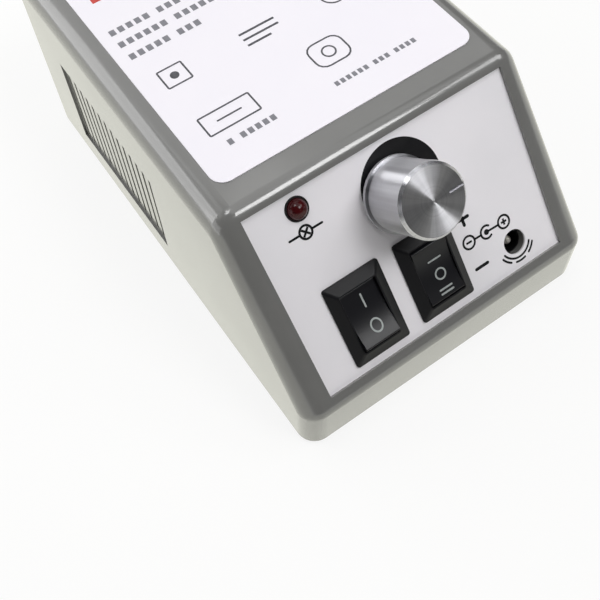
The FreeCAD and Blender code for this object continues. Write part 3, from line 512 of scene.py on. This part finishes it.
@dataclass(frozen=True)
class Layered(Finish):
    """Stacked or wound material: sheets of core steel, or turns of tape, edge on."""

    layer_mm: float = 0.5  # thickness of one layer
    direction: str = "Y"  # axis that the layers follow, X, Y or Z
    metallic: float = 0.0  # 1 for steel, 0 for tape
    depth_mm: float = 0.05  # depth of the joints between layers

    WEAR_MM = 3.0
    WEAR = (0.08, 0.08)
    JOINT: ClassVar[Point] = (0.0, 0.35)  # share of a layer over which its joint clears up

    def dress(self, look: Look) -> None:
        """Bands across the stack, each joint a little darker and lower.

        Args:
            look: The material.
        """
        layers = look.add("TexWave", Vector=look.place, bands_direction=self.direction,
                          Scale=per_metre(self.layer_mm) * WAVE_PERIOD, Distortion=0.6,
                          Detail=1.0).outputs["Fac"]
        look.feed(Base_Color=look.blend(layers, (self.shade, self.colour), self.JOINT),
                  Roughness=self.wear(look), Metallic=self.metallic,
                  Normal=look.relief(layers, self.depth_mm, strength=0.7))


# ---------------- places on the model
@dataclass(frozen=True)
class Face:
    """A flat working frame on a surface of a CAD node."""

    node: str  # name of the CAD node that carries the print
    origin: Vector  # zero of the drawing
    across: Vector  # direction of u
    up: Vector  # direction of v
    out: Vector  # direction away from the surface

    def tree(self) -> BVHTree:
        """The node's mesh, ready for casting rays at it."""
        mesh = frame["nodes"][self.node].data
        return BVHTree.FromPolygons([v.co for v in mesh.vertices],
                                    [p.vertices for p in mesh.polygons])

    def over(self, point: Point, height: float) -> Vector:
        """The place of a point of the drawing, in mm, at a height over its plane, in metres."""
        u, v = point[0] * MM, point[1] * MM
        return self.origin + self.across * u + self.up * v + self.out * height


def control_face() -> Face:
    """The control panel's sheet, with u across and v up the slope from its centre.

    Returns:
        The face.
    """
    low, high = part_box("front_panel")
    out = Vector(joint("speed_knob_turn")["axis"]).normalized()
    across = Vector((1.0, 0.0, 0.0))
    return Face("front_panel", (low + high) / 2, across, out.cross(across), out)


def joint(name: str) -> dict:
    """The record's row of one joint, with pos_m and axis."""
    return next(row for row in frame["joints"] if row["name"] == name)


# ---------------- flat print
ORIGIN = (0.0, 0.0)
RING_POINTS = 48
CORNER_POINTS = 5
CAP_ANGLES = (5, 25, 45, 65)  # angles from the pen's direction at which a round end has points
MITRE_LIMIT = 0.4  # least cosine that a bend is widened by


@dataclass(frozen=True)
class Band:
    """One closed patch of ink between two lines of points that run side by side."""

    left: tuple[Point, ...]  # points of one edge, in mm
    right: tuple[Point, ...]  # points of the other edge, as many
    closed: bool = False  # the ends join, as in a ring

    def moved(self, across: float, up: float, turn: float = 0.0) -> "Band":
        """A copy that is turned and then moved.

        Args:
            across: Move along u, in mm.
            up: Move along v, in mm.
            turn: Angle counter-clockwise, in degrees.

        Returns:
            The new band.
        """
        cos, sin = math.cos(math.radians(turn)), math.sin(math.radians(turn))

        def place(line: Iterable[Point]) -> tuple[Point, ...]:
            """Every point of one edge in its new place."""
            return tuple((across + u * cos - v * sin, up + u * sin + v * cos) for u, v in line)

        return Band(place(self.left), place(self.right), self.closed)


def arc(radius: float, start: float, end: float, count: int, centre: Point = ORIGIN) -> Outline:
    """Points on an arc, from a start to an end in degrees counter-clockwise from across."""
    steps = [math.radians(start + (end - start) * i / (count - 1)) for i in range(count)]
    return [(centre[0] + radius * math.cos(a), centre[1] + radius * math.sin(a)) for a in steps]


def ring(radius: float, width: float, centre: Point = ORIGIN, squash: float = 1.0) -> Band:
    """A closed ring.

    Args:
        radius: Radius of its middle line.
        width: Width of the line.
        centre: Its centre.
        squash: Width of the figure as a share of its height.

    Returns:
        The ring.
    """
    def edge(size: float) -> tuple[Point, ...]:
        """One edge of the line."""
        turn = [math.tau * i / RING_POINTS for i in range(RING_POINTS)]
        return tuple((centre[0] + size * squash * math.cos(a), centre[1] + size * math.sin(a))
                     for a in turn)

    return Band(edge(radius - width / 2), edge(radius + width / 2), True)


def disc(radius: float, centre: Point = ORIGIN) -> Band:
    """A filled round spot, whose two halves meet in short ends at its left and right."""
    upper, lower = (arc(radius, start, end, 17, centre) for start, end in ((178, 2), (182, 358)))
    return Band(tuple(upper), tuple(lower))


def stroke(line: Sequence[Point], width: float, rounded: bool = True) -> Band:
    """A line drawn with a pen.

    Args:
        line: Points of its middle.
        width: Width of the pen.
        rounded: Round ends, or square ones.

    Returns:
        The stroke.
    """
    points = [Vector(p) for p in line]
    half = width / 2
    stations: list[tuple[Vector, Vector, float]] = []
    for i, point in enumerate(points):
        before = (point - points[i - 1]).normalized() if i else None
        after = (points[i + 1] - point).normalized() if i + 1 < len(points) else None
        along = ((before or after) + (after or before)).normalized()
        mitre = half / max(MITRE_LIMIT, along.dot(after or before))
        stations.append((point, along, mitre))
    if rounded:
        steps = [math.radians(a) for a in CAP_ANGLES]
        start, first, _ = stations[0]
        end, last, _ = stations[-1]
        head = [(start - first * half * math.cos(a), first, half * math.sin(a)) for a in steps]
        tail = [(end + last * half * math.cos(a), last, half * math.sin(a)) for a in steps[::-1]]
        stations = head + stations + tail
    side = [Vector((-along.y, along.x)) * reach for _, along, reach in stations]
    left = tuple(tuple(s[0] + d) for s, d in zip(stations, side))
    right = tuple(tuple(s[0] - d) for s, d in zip(stations, side))
    return Band(left, right)


def frame_line(width: float, height: float, line: float, centre: Point, corner: float) -> Band:
    """The outline of a rounded rectangle.

    Args:
        width: Across, to the middle of the line.
        height: Along, to the middle of the line.
        line: Width of the line.
        centre: Its centre.
        corner: Radius of its corners.

    Returns:
        The closed line.
    """
    def edge(grow: float) -> tuple[Point, ...]:
        """One edge of the line.

        Args:
            grow: How far it lies outside the middle.

        Returns:
            Its points.
        """
        radius = corner + grow
        across, up = width / 2 - corner, height / 2 - corner
        points: Outline = []
        for x, y, start in ((across, up, 0), (-across, up, 90), (-across, -up, 180),
                            (across, -up, 270)):
            middle = (centre[0] + x, centre[1] + y)
            points += arc(radius, start, start + 90, CORNER_POINTS, middle)
        return tuple(points)

    return Band(edge(-line / 2), edge(line / 2), True)


def bar(width: float, height: float, centre: Point) -> Band:
    """A filled bar with square ends, from its width across, its height and its centre."""
    u, v = centre
    return stroke([(u - width / 2, v), (u, v), (u + width / 2, v)], height, rounded=False)


@dataclass
class Print:
    """A layer of ink laid on a CAD face, as one thin closed mesh."""

    name: str
    face: Face  # the frame that it is drawn in
    body: str  # the CAD body that it rides on
    slot: str  # the record's material slot; not used
    finish: Finish
    bands: list[Band]  # its patches
    thickness: float = 0.035 * MM  # height of the ink over the face
    sink: float = 0.03 * MM  # how far its underside reaches into the face

    REACH: ClassVar[float] = 20 * MM  # height from which points are dropped onto the face

    def build(self) -> None:
        """Lays every patch on the face and makes the piece."""
        surface = self.face.tree()
        mesh = bmesh.new()
        for band in self.bands:
            self.lay(mesh, surface, band)
        bmesh.ops.recalc_face_normals(mesh, faces=mesh.faces)
        data = bpy.data.meshes.new(self.name)
        mesh.to_mesh(data)
        mesh.free()
        piece = bpy.data.objects.new(self.name, data)
        bpy.context.scene.collection.objects.link(piece)
        piece.data.materials.append(self.finish.make())
        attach(piece, self.body)
        LOG.info("%s: %d faces on %s", self.name, len(data.polygons), self.body)

    def lay(self, mesh: bmesh.types.BMesh, surface: BVHTree, band: Band) -> None:
        """Adds one patch.

        Args:
            mesh: The mesh that is being made.
            surface: The face's mesh.
            band: The patch.
        """
        rows = [[self.drop(mesh, surface, point, lift) for point in line]
                for line, lift in ((band.left, self.thickness), (band.right, self.thickness),
                                   (band.right, -self.sink), (band.left, -self.sink))]
        count = len(band.left)
        for i in range(count if band.closed else count - 1):
            after = (i + 1) % count
            for row, other in zip(rows, rows[1:] + rows[:1]):
                mesh.faces.new((row[i], other[i], other[after], row[after]))
        if not band.closed:
            for i in (0, count - 1):
                mesh.faces.new([row[i] for row in rows])

    def drop(self, mesh: bmesh.types.BMesh, surface: BVHTree, point: Point,
             lift: float) -> bmesh.types.BMVert:
        """Drops one point of the drawing onto the face.

        Args:
            mesh: The mesh that is being made.
            surface: The face's mesh.
            point: Place in the drawing.
            lift: Height over the face.

        Returns:
            The new vertex.
        """
        hit = surface.ray_cast(self.face.over(point, self.REACH), -self.face.out)[0]
        if hit is None:
            raise ValueError(f"{self.name}: nothing under {point}")
        return mesh.verts.new(hit + self.face.out * lift)


# ---------------- the unit's own finishes
# ABS moulded in a polished, lightly eroded tool: an even mid grey, whose gloss mirrors the table.
CASE_PLASTIC = MouldedPlastic("moulded_grey_abs", "#737371", "#70706e", 0.24,
                              grain_depth_mm=0.006, ior=1.54, skin=1.0)
# The case's ABS, made a touch paler and greener on the inserts: painted light, for the brighter
# reflection that the recessed vents show.
VENT_ABS_PAINTED_PALER = MouldedPlastic("vent_abs_painted_paler", "#83837b", "#80807a", 0.24, grain_mm=0.35,
                              grain_depth_mm=0.006, ior=1.54, skin=0.8)
# Nylon moulded in an eroded tool: the bezels stay black and catch light on their bevels only.
SWITCH_NYLON = MouldedPlastic("moulded_black_nylon", "#131316", "#161619", 0.36, grain_mm=0.3,
                              edge_mm=0.2, sheen=0.2)
# Nylon moulded in a polished tool: a broad soft sheen lies in the hollow of each rocker.
ROCKER_NYLON = MouldedPlastic("polished_black_nylon", "#1a1a1d", "#16161a", 0.3, grain_mm=0.6,
                              grain_depth_mm=0.01, edge_mm=0.2, sheen=0.27)
# Nylon moulded matt, in a black set deeper than the bezels': partly painted shade, which keeps the
# socket's bore and the ring round the lamp dark.
HOLDER_NYLON_AND_SHADE = MouldedPlastic("holder_nylon_and_painted_shade", "#0f0f10", "#141415", 0.45, grain_mm=0.3,
                              sheen=0.3)
# Glass-filled nylon, moulded: its fibres make it a dull grey-black.
CORE_NYLON = MouldedPlastic("moulded_knob_core_nylon", "#26272a", "#2c2d30", 0.5, grain_mm=0.4)
# Filled epoxy, pressed round the parts in a matt tool: charcoal with hardly a highlight.
EPOXY_BODY = MouldedPlastic("transfer_moulded_epoxy", "#18191a", "#222324", 0.5, grain_mm=0.25,
                            edge_mm=0.1)
# Vinyl tube, shrunk by heat over a can: glossy dark blue, drawn round at its ends.
SLEEVE = MouldedPlastic("shrunk_vinyl_sleeve", "#20304f", "#1c2a46", 0.3, grain_mm=0.8, edge_mm=0.3)
# Polyester film, printed and glued down: cool white and satin, so it takes the knob's soft shade.
PANEL_FILM = PrintedFilm("printed_panel_film", "#f1eef2", "#ebe9ed", 0.42)
# Gloss film laminated over print: whiter and smoother than the panel, with a faint long wave.
LABEL_FILM = PrintedFilm("printed_label_film", "#f4f1f7", "#f2eff6", 0.36, wave_mm=11.0,
                         coat=0.25)
# Screen ink, laid thick: black with crisp edges and a satin face.
BLACK_INK = PrintedInk("black_screen_ink", "#0c0c0f", "#101013", 0.4)
# Flexo ink, laid thin on film: dark grey, because the white shows through its lines.
LABEL_INK = PrintedInk("dark_label_ink", "#4d4d52", "#5e5e63", 0.5, mesh_mm=0.2)
# The same ink as a half tone: paler, as small letters look from far off.
GREY_INK = PrintedInk("grey_label_ink", "#7e7e84", "#8a8a90", 0.5, mesh_mm=0.2)
# White pad ink in one thin coat over black: a greyish white.
WHITE_INK = PrintedInk("white_pad_ink", "#aeb4b2", "#989e9d", 0.5)
# Red screen ink: a full, slightly warm red with a soft gloss.
RED_INK = PrintedInk("red_screen_ink", "#c4423c", "#cc514a", 0.45)
# Cold-headed steel, zinc plated and passivated: pale and a little cloudy.
ZINC = PlainMetal("zinc_plated_steel", "#c3c4c2", "#aeb0ad", 0.34)
# Turned brass under bright nickel: warm silver with sharp reflections.
NICKEL = PlainMetal("nickel_plated_brass", "#d2cec4", "#c2beb4", 0.2, grain_mm=0.4)
# The same, tumbled before plating: the pin is satin, so it catches light from all round.
TUMBLED_NICKEL = PlainMetal("tumbled_nickel_brass", "#ece8e0", "#e0dcd4", 0.42, grain_mm=0.4)
# Stamped brass strip, dipped in tin: soft silver with lines along the strip.
TINNED = PlainMetal("tinned_brass_strip", "#cfcdc6", "#bab8b0", 0.36, (1.0, 0.2, 1.0))
# Steel sheet, deep drawn and nickel plated: grey silver with faint lines across.
DRAWN_STEEL = PlainMetal("drawn_nickel_steel", "#b9b9b6", "#a5a5a2", 0.38, (0.15, 1.0, 1.0))
# Steel bar, ground between wheels: bright, with the finest lines.
GROUND_STEEL = PlainMetal("ground_shaft_steel", "#c7c7c5", "#b6b6b4", 0.28, (1.0, 1.0, 0.1))
# Aluminium, extruded and black anodised: dark and satin, with lines along the profile.
EXTRUDED = PlainMetal("anodised_extrusion", "#4a4b4e", "#3f4043", 0.45, (1.0, 1.0, 0.08))
# Moulded rubber with its wax come to the surface: nearly matt, greyed black.
FOOT_RUBBER = Rubber("moulded_foot_rubber", "#222222", "#2b2b2a", 0.75)
# Moulded rubber, harder and fresher from the tool: blacker, with a dull shine.
BUSHING_RUBBER = Rubber("moulded_bushing_rubber", "#1b1b1b", "#242423", 0.62, bloom=0.25)
# Red epoxy cast round a lamp: dark where it is deep, with a glow and a sharp glint on its nose.
RED_EPOXY = ClearBody("cast_red_epoxy", "#48080d", "#3a070b", 0.16, clarity=0.2, ior=1.54,
                      sheen=0.2)
# Glass tube, drawn and fire polished: clear, with bright lines along its edges.
FUSE_GLASS = ClearBody("drawn_fuse_glass", "#eef2ef", "#e6ece8", 0.03)
# Glass laminate under a sprayed solder mask: satin green, with paler tracks and a faint weave.
LAMINATE = BoardLaminate("masked_glass_laminate", "#1f5a38", "#235f3d", 0.4)
# Paper and resin pressed in layers, then punched: brown, with thin bands along its cut edge.
PHENOLIC = Layered("phenolic_track_board", "#7b4f2b", "#5f3b1f", 0.5, layer_mm=0.2,
                   direction="Z")
# Stamped steel sheets in a stack, varnished: grey bands with dark joints.
CORE_STEEL = Layered("laminated_core_steel", "#8b8c8d", "#5a5b5d", 0.42, metallic=1.0,
                     depth_mm=0.06)
# Yellow polyester tape wound over wire: glossy, with the step of each turn.
COIL_TAPE = Layered("wound_polyester_tape", "#d8a93a", "#b98a26", 0.3, layer_mm=6.0,
                    direction="X", depth_mm=0.08)


def turned_cap() -> TurnedAluminium:
    """The knob's finish, with its rings about the knob's own axis.

    Returns:
        The finish.
    """
    # Aluminium faced and turned in one clamping: fan-shaped streaks over the face, drawn by its
    # rings and also painted into its colour, and a satin side.
    row = joint("speed_knob_turn")
    axis = tuple(Vector(row["axis"]).normalized())
    return TurnedAluminium("lathe_turned_aluminium", "#d0d0d4", "#a6a6ab", 0.33,
                           centre=tuple(row["pos_m"]), axis=axis)


@dataclass
class CadParts:
    """The CAD nodes that stay as they are and take a real finish."""

    finishes: dict[str, Finish] = field(default_factory=lambda: {
        "upper_housing": CASE_PLASTIC, "base_plate": CASE_PLASTIC,
        "vent_grille_left": VENT_ABS_PAINTED_PALER, "vent_grille_right": VENT_ABS_PAINTED_PALER,
        "front_panel": PANEL_FILM, "top_label": LABEL_FILM, "case_screws": ZINC,
        "rubber_feet": FOOT_RUBBER, "cord_bushing": BUSHING_RUBBER,
        "power_switch_body": SWITCH_NYLON, "direction_switch_body": SWITCH_NYLON,
        "power_rocker": ROCKER_NYLON, "direction_rocker": ROCKER_NYLON,
        "power_switch_terminals": TINNED, "direction_switch_terminals": TINNED,
        "knob_cap": turned_cap(), "knob_core": CORE_NYLON, "potentiometer_shaft": GROUND_STEEL,
        "potentiometer_bush": NICKEL, "potentiometer_case": DRAWN_STEEL,
        "potentiometer_track": PHENOLIC, "potentiometer_washer": ZINC,
        "potentiometer_nut": NICKEL, "lamp_lens": RED_EPOXY, "lamp_holder": HOLDER_NYLON_AND_SHADE,
        "lamp_leads": TINNED, "jack_body": HOLDER_NYLON_AND_SHADE, "jack_pin": TUMBLED_NICKEL,
        "jack_spring": NICKEL, "circuit_board": LAMINATE, "board_screws": ZINC,
        "capacitor": SLEEVE, "heatsink": EXTRUDED, "driver_transistor": EPOXY_BODY,
        "fuse_glass": FUSE_GLASS, "fuse_caps": NICKEL, "fuse_clips": TINNED,
        "diodes": EPOXY_BODY, "transformer_core": CORE_STEEL, "transformer_coil": COIL_TAPE,
        "transformer_strap": DRAWN_STEEL, "transformer_screws": ZINC})

    def dress(self) -> None:
        """Gives every node its finish."""
        for name, node in frame["nodes"].items():
            material = self.finishes[name].make()
            node.data.materials.clear()
            node.data.materials.append(material)
            LOG.info("%s: %s", name, material.name)


# ---------------- print on the control panel
@dataclass
class PanelPrint:
    """Black print on the panel: the speed wedge round the knob and the plain signs."""

    knob: Point = (-0.35, 10.3)  # place of the knob's axis on the sheet
    wedge_centre: Point = (2.0, 11.33)  # centre of the wedge's outer edge
    wedge_radius: float = 10.32  # radius of that edge
    wedge_inner: float = 8.0  # radius of its inner edge, under the knob's flange
    lamp_sign: Point = (-22.8, 13.6)
    polarity_sign: Point = (17.1, -9.9)
    plus_sign: Point = (12.4, -3.7)
    minus_sign: Point = (12.85, -16.8)
    jack: Point = (23.2, -16.2)  # place of the socket
    pen: float = 0.8  # width of the heavy strokes
    fine_pen: float = 0.52  # width of the light strokes

    def wedge(self) -> Band:
        """The speed wedge, from a thin tip to a blunt, slanted end.

        Returns:
            Its patch.
        """
        count = 49
        outer = arc(self.wedge_radius, 175.4, 2.1, count, self.wedge_centre)
        inner = arc(self.wedge_inner, 166.8, 44.3, count, self.knob)
        return Band(tuple(outer), tuple(inner))

    def line(self, start: Point, end: Point) -> Band:
        """A light line with square ends."""
        return stroke([start, end], self.fine_pen, rounded=False)

    def lamp(self) -> list[Band]:
        """A lamp as in a circuit drawing: a crossed ring between two leads.

        Returns:
            The sign's patches.
        """
        radius, arm, lead = 1.5, 0.85, (1.75, 4.2)
        cross = [self.line((-arm, -arm * s), (arm, arm * s)) for s in (-1, 1)]
        leads = [stroke([(s * lead[0], 0), (s * lead[1], 0)], self.fine_pen) for s in (-1, 1)]
        return [b.moved(*self.lamp_sign) for b in [ring(radius, self.fine_pen), *cross, *leads]]

    def polarity(self) -> list[Band]:
        """A socket's polarity: a minus and a plus in rings, with the pin and sleeve between.

        Returns:
            The sign's patches.
        """
        radius, reach, far, near, turn = 1.6, 0.8, 5.2, 3.6, -2.0
        ends = [ring(radius, self.fine_pen, (s * far, 0)) for s in (-1, 1)]
        levels = [self.line((u - reach, 0), (u + reach, 0)) for u in (-far, far)]
        upright = self.line((far, -reach), (far, reach))
        sleeve = stroke(arc(radius, 50, 310, 17), self.fine_pen)
        leads = [self.line((-near, 0), (-radius, 0)), disc(0.7), self.line((0.5, 0), (near, 0))]
        return [b.moved(*self.polarity_sign, turn)
                for b in [*ends, *levels, upright, sleeve, *leads]]

    def signs(self) -> list[Band]:
        """The large plus and minus beside the direction switch.

        Returns:
            The patches of both.
        """
        plus_arm, minus_arm = 1.6, 1.7
        u, v = self.plus_sign
        plus = [stroke([(u - plus_arm, v), (u + plus_arm, v)], self.pen),
                stroke([(u, v - plus_arm), (u, v + plus_arm)], self.pen)]
        u, v = self.minus_sign
        return [*plus, stroke([(u - minus_arm, v), (u + minus_arm, v)], self.pen)]

    def direct_current(self) -> list[Band]:
        """Direct current, bent round the socket: a whole line over a broken one.

        Returns:
            The sign's patches.
        """
        inner, outer, dash = 4.15, 5.15, 30
        whole = stroke(arc(inner, 205, 335, 25, self.jack), self.fine_pen)
        return [whole, *(stroke(arc(outer, start, start + dash, 9, self.jack), self.fine_pen)
                         for start in (208, 255, 302))]

    def build(self) -> None:
        """Lays the print on the sheet."""
        face = control_face()
        layers = {"speed_wedge": [self.wedge()], "lamp_sign": self.lamp(),
                  "polarity_sign": self.polarity(), "plus_minus_signs": self.signs(),
                  "direct_current_sign": self.direct_current()}
        for name, bands in layers.items():
            Print(name, face, "case", "panel_print", BLACK_INK, bands).build()


# ---------------- print on the rockers
@dataclass
class RockerPrint:
    """White marks on one rocker, which tilt with it."""

    node: str
    body: str
    joint_name: str
    rest_tilt: float  # angle of the rocker at rest, in degrees
    bands: list[Band]  # its marks, in the rocker's own frame

    def build(self) -> None:
        """Lays the marks on the rocker's two wings."""
        base = control_face()
        turn = Matrix.Rotation(math.radians(self.rest_tilt), 3, base.across)
        hinge = Vector(joint(self.joint_name)["pos_m"])
        face = Face(self.node, hinge, base.across, turn @ base.up, turn @ base.out)
        name = self.node + "_marks"
        Print(name, face, self.body, "rocker_plastic", WHITE_INK, self.bands).build()


def rocker_prints() -> list[RockerPrint]:
    """The marks of both switches: I and O, and I, O and II.

    Returns:
        The prints.
    """
    pen, thin_pen, left, right = 0.42, 0.4, -1.3, 2.0
    power = [stroke([(0.25, 1.8), (0.25, 5.0)], pen), ring(1.55, pen, (0.35, -3.1), 0.85)]
    direction = [stroke([(-1.2, 2.8), (2.1, 2.8)], pen), ring(1.3, thin_pen, (0.6, -1.2)),
                 *(stroke([(left, v), (right, v)], pen) for v in (-4.75, -5.75))]
    return [RockerPrint("power_rocker", "power_switch_lever", "power_rocker_tilt", -11.0, power),
            RockerPrint("direction_rocker", "direction_switch_lever", "direction_rocker_tilt",
                        0.0, direction)]


# ---------------- print on the label
@dataclass
class LabelPrint:
    """Plain, wordless print on the label: rows of blocks, outlines and one red bar."""

    line: float = 0.42  # width of the thin lines
    block: Point = (1.45, 1.9)  # width and height of one block, which stands where a letter would
    pitch: float = 2.25  # distance from one block to the next
    gap: float = 1.6  # space between two groups
    rows: tuple[tuple[Point, tuple[int, ...], float], ...] = (  # left end, groups, scale
        ((3.0, 52.6), (5, 7, 3), 1.0), ((3.0, 48.0), (6, 6, 5), 1.0), ((3.2, 43.2), (5, 3), 1.0),
        ((8.0, 8.6), (1, 5), 0.85), ((35.6, 8.0), (6, 3, 4), 0.7))

    def row(self, start: Point, groups: Sequence[int], size: float) -> list[Band]:
        """A row of blocks in groups, spaced like the letters and words of a line.

        Args:
            start: Middle of the row's left end.
            groups: Number of blocks in each group.
            size: Scale of the row.

        Returns:
            The blocks.
        """
        blocks, left = [], start[0]
        width, height = self.block[0] * size, self.block[1] * size
        for count in groups:
            blocks += [bar(width, height, (left + width / 2 + i * self.pitch * size, start[1]))
                       for i in range(count)]
            left += (count * self.pitch + self.gap) * size
        return blocks

    def figures(self) -> list[Band]:
        """Plain figures: a dot in a square, a bar in a plate, two ringed ones and three lines.

        Returns:
            Their patches.
        """
        square, plate, tile, target = (8.7, 32.3), (12.4, 15.1), (40.3, 17.0), (51.6, 31.6)
        lines = ((9.6, 33.6), (9.6, 31.6), (6.4, 29.6))  # width and height up the label of each
        left, thick = 26.7, 0.6
        return [frame_line(6.2, 5.8, self.line, square, corner=0.3), disc(1.1, square),
                frame_line(13.0, 5.7, self.line, plate, corner=0.3),
                stroke([(9.4, plate[1]), (15.4, plate[1])], self.line),
                frame_line(9.0, 7.6, self.line, tile, corner=2.4), ring(1.6, self.line, tile),
                ring(3.1, self.line, target), disc(0.7, target),
                *(bar(width, thick, (left + width / 2, v)) for width, v in lines)]

    def build(self) -> None:
        """Lays the print on the label."""
        low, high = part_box("top_label")
        corner = Vector((low.x, low.y, high.z))
        face = Face("top_label", corner, Vector((1, 0, 0)), Vector((0, 1, 0)), Vector((0, 0, 1)))
        rows = [band for row in self.rows for band in self.row(*row)]
        stripe = [bar(20.0, 3.0, (14.6, 65.6))]
        Print("label_rows", face, "case", "label_print", GREY_INK, rows).build()
        Print("label_figures", face, "case", "label_print", LABEL_INK, self.figures()).build()
        Print("label_stripe", face, "case", "label_print", RED_INK, stripe).build()


# ---------------- studio
MIX_COLOURS = (6, 7)  # numbers of the colour inputs of Blender's Mix node
MIX_RESULT = 2  # number of its colour output


class Rays(Enum):
    """The kinds of ray that see the floor, and some the walls, as plain white."""

    CAMERA = "Is Camera Ray"
    GLOSSY = "Is Glossy Ray"
    TRANSMISSION = "Is Transmission Ray"


@dataclass(frozen=True)
class Softbox:
    """A large soft light."""

    name: str
    place: Place  # where it stands
    aim: Place  # the point that it faces
    width: float
    height: float
    power: float  # watts

    def build(self) -> None:
        """Sets the light up."""
        data = bpy.data.lights.new(self.name, "AREA")
        data.shape = "RECTANGLE"
        data.size, data.size_y = self.width, self.height
        data.energy = self.power
        lamp = bpy.data.objects.new(self.name, data)
        lamp.location = self.place
        ahead = Vector(self.aim) - Vector(self.place)
        lamp.rotation_euler = ahead.to_track_quat("-Z", "Y").to_euler()
        bpy.context.scene.collection.objects.link(lamp)


@dataclass(frozen=True)
class Studio:
    """A white table in a pale room, under soft lights."""

    lights: tuple[Softbox, ...] = (
        Softbox("overhead_softbox", (0.1, 0.05, 0.62), (0, 0, 0.03), 0.50, 0.40, 0.62),
        Softbox("rear_wide_softbox", (0.13, 0.45, 0.47), (0.05, 0, 0.05), 0.90, 0.42, 0.95),
        Softbox("rear_low_softbox", (-0.12, 0.516, 0.215), (0, 0, 0.05), 0.22, 0.12, 0.6),
        Softbox("right_key_softbox", (0.38, -0.2, 0.45), (0, -0.03, 0.03), 0.20, 0.20, 0.55),
        Softbox("front_top_softbox", (0.16, -0.31, 0.5), (0, 0, 0.03), 0.20, 0.20, 1.15),
        Softbox("high_left_softbox", (-0.12, 0.034, 0.63), (0, -0.03, 0.05), 0.16, 0.16, 0.45),
        Softbox("left_rear_softbox", (-0.45, 0.42, 0.27), (0, 0, 0.05), 0.40, 0.38, 1.2),
        Softbox("left_side_softbox", (-0.55, 0.06, 0.15), (0.0, 0.02, 0.02), 0.50, 0.26, 0.5),
        Softbox("left_high_softbox", (-0.33, 0.26, 0.44), (0, 0, 0.03), 0.30, 0.30, 0.15),
    )
    room: float = 0.075  # strength of the room's own light
    horizon: float = 1.0  # strength of the white walls low round the table
    wall_foot: float = 0.0  # sine of the height angle up to which the walls are white
    wall_top: float = 0.12  # sine of the height angle from which the room is dim
    floor_size: float = 6.0
    floor_white: str = "#f4f4f0"
    floor_shade: str = "#f2f2ee"  # near colour that the floor's white drifts to
    bounce: str = "#fffff4"  # colour in which glossy surfaces mirror the floor
    near: float = 0.10  # distance up to which the floor shows the unit's shadow best
    far: float = 0.40  # distance from which the floor shows plain white
    veil: float = 0.85  # share of plain white that the floor shows up to the near distance

    def build(self) -> None:
        """Sets up the room, the floor and the lights."""
        self.build_room()
        self.build_floor()
        for light in self.lights:
            light.build()
            LOG.info("%s: %.2f W", light.name, light.power)

    def build_room(self) -> None:
        """The room: white low round the table, dimmer above, and plain white to the camera."""
        world = bpy.data.worlds.new("pale_room")
        world.use_nodes = True
        bpy.context.scene.world = world
        nodes = Nodes(world.node_tree)
        view = nodes.add("TexCoord").outputs["Generated"]
        height = nodes.add("SeparateXYZ", view).outputs["Z"]
        level = nodes.span(height, self.horizon, self.room, (self.wall_foot, self.wall_top),
                           "SMOOTHSTEP")
        camera = nodes.add("LightPath").outputs[Rays.CAMERA.value]
        light = nodes.add("Background", WHITE, nodes.number("MAXIMUM", level, camera))
        nodes.add("OutputWorld", light.outputs["Background"])

    def build_floor(self) -> None:
        """A white floor, which keeps the unit's shadow near it and shows plain white far away."""
        half = self.floor_size / 2
        corners = [(-half, -half, 0), (half, -half, 0), (half, half, 0), (-half, half, 0)]
        mesh = bpy.data.meshes.new("floor")
        mesh.from_pydata(corners, [], [(0, 1, 2, 3)])
        floor = bpy.data.objects.new("floor", mesh)
        bpy.context.scene.collection.objects.link(floor)
        mesh.materials.append(self.floor_paint())

    def floor_paint(self) -> bpy.types.Material:
        """The floor's material.

        Returns:
            The material.
        """
        # Board painted white with a roller: a matt, even white that keeps a soft shadow.
        look = Look("rolled_white_paint")
        path = look.add("LightPath").outputs
        camera = path[Rays.CAMERA.value]
        look.feed(Base_Color=look.mottle(look.place, (self.floor_white, self.floor_shade), 60.0),
                  Roughness=look.spread(look.place, 0.75, 0.85, 40.0))
        away = look.vector("LENGTH", look.place, out="Value")
        share = look.span(away, self.veil, 1.0, (self.near, self.far), "SMOOTHSTEP")
        factor = look.number("MULTIPLY", camera, share)
        for rays in (Rays.GLOSSY, Rays.TRANSMISSION):
            factor = look.number("MAXIMUM", factor, path[rays.value])
        tint = look.add("Mix", camera, data_type="RGBA")
        tint.inputs[MIX_COLOURS[0]].default_value = linear(self.bounce)
        tint.inputs[MIX_COLOURS[1]].default_value = WHITE
        glow = look.add("Emission", tint.outputs[MIX_RESULT], Strength=1.0)
        mixed = look.add("MixShader", factor, look.shader.outputs["BSDF"], glow.outputs["Emission"])
        look.fill(look.out.inputs["Surface"], mixed.outputs["Shader"])
        return look.material


@dataclass(frozen=True)
class Camera:
    """The camera, which looks down at the control face from the front left."""

    place: Place = (-0.070589, -0.121046, 0.188481)
    right: Place = (0.82031077, -0.56941498, -0.05344923)
    up: Place = (0.52352945, 0.70999793, 0.47097755)
    back: Place = (-0.23023282, -0.4143302, 0.88052446)  # direction behind it
    lens_mm: float = 48.2366  # focal length
    film_mm: float = 36.0  # width of its square film
    nearest: float = 0.01  # distance from which it sees

    def build(self) -> None:
        """Makes the scene's camera."""
        data = bpy.data.cameras.new("camera")
        data.lens = self.lens_mm
        data.sensor_width = self.film_mm
        data.clip_start = self.nearest
        camera = bpy.data.objects.new("camera", data)
        axes = Matrix((self.right, self.up, self.back)).transposed()
        camera.matrix_world = Matrix.Translation(self.place) @ axes.to_4x4()
        bpy.context.scene.collection.objects.link(camera)
        bpy.context.scene.camera = camera


def main() -> None:
    """Builds the scene in order."""
    logging.basicConfig(level=logging.INFO, format="%(name)s: %(message)s")
    bpy.context.scene.view_settings.view_transform = "Standard"
    Camera().build()
    Studio().build()
    CadParts().dress()
    PanelPrint().build()
    for marks in rocker_prints():
        marks.build()
    LabelPrint().build()


if __name__ == "__main__":
    main()
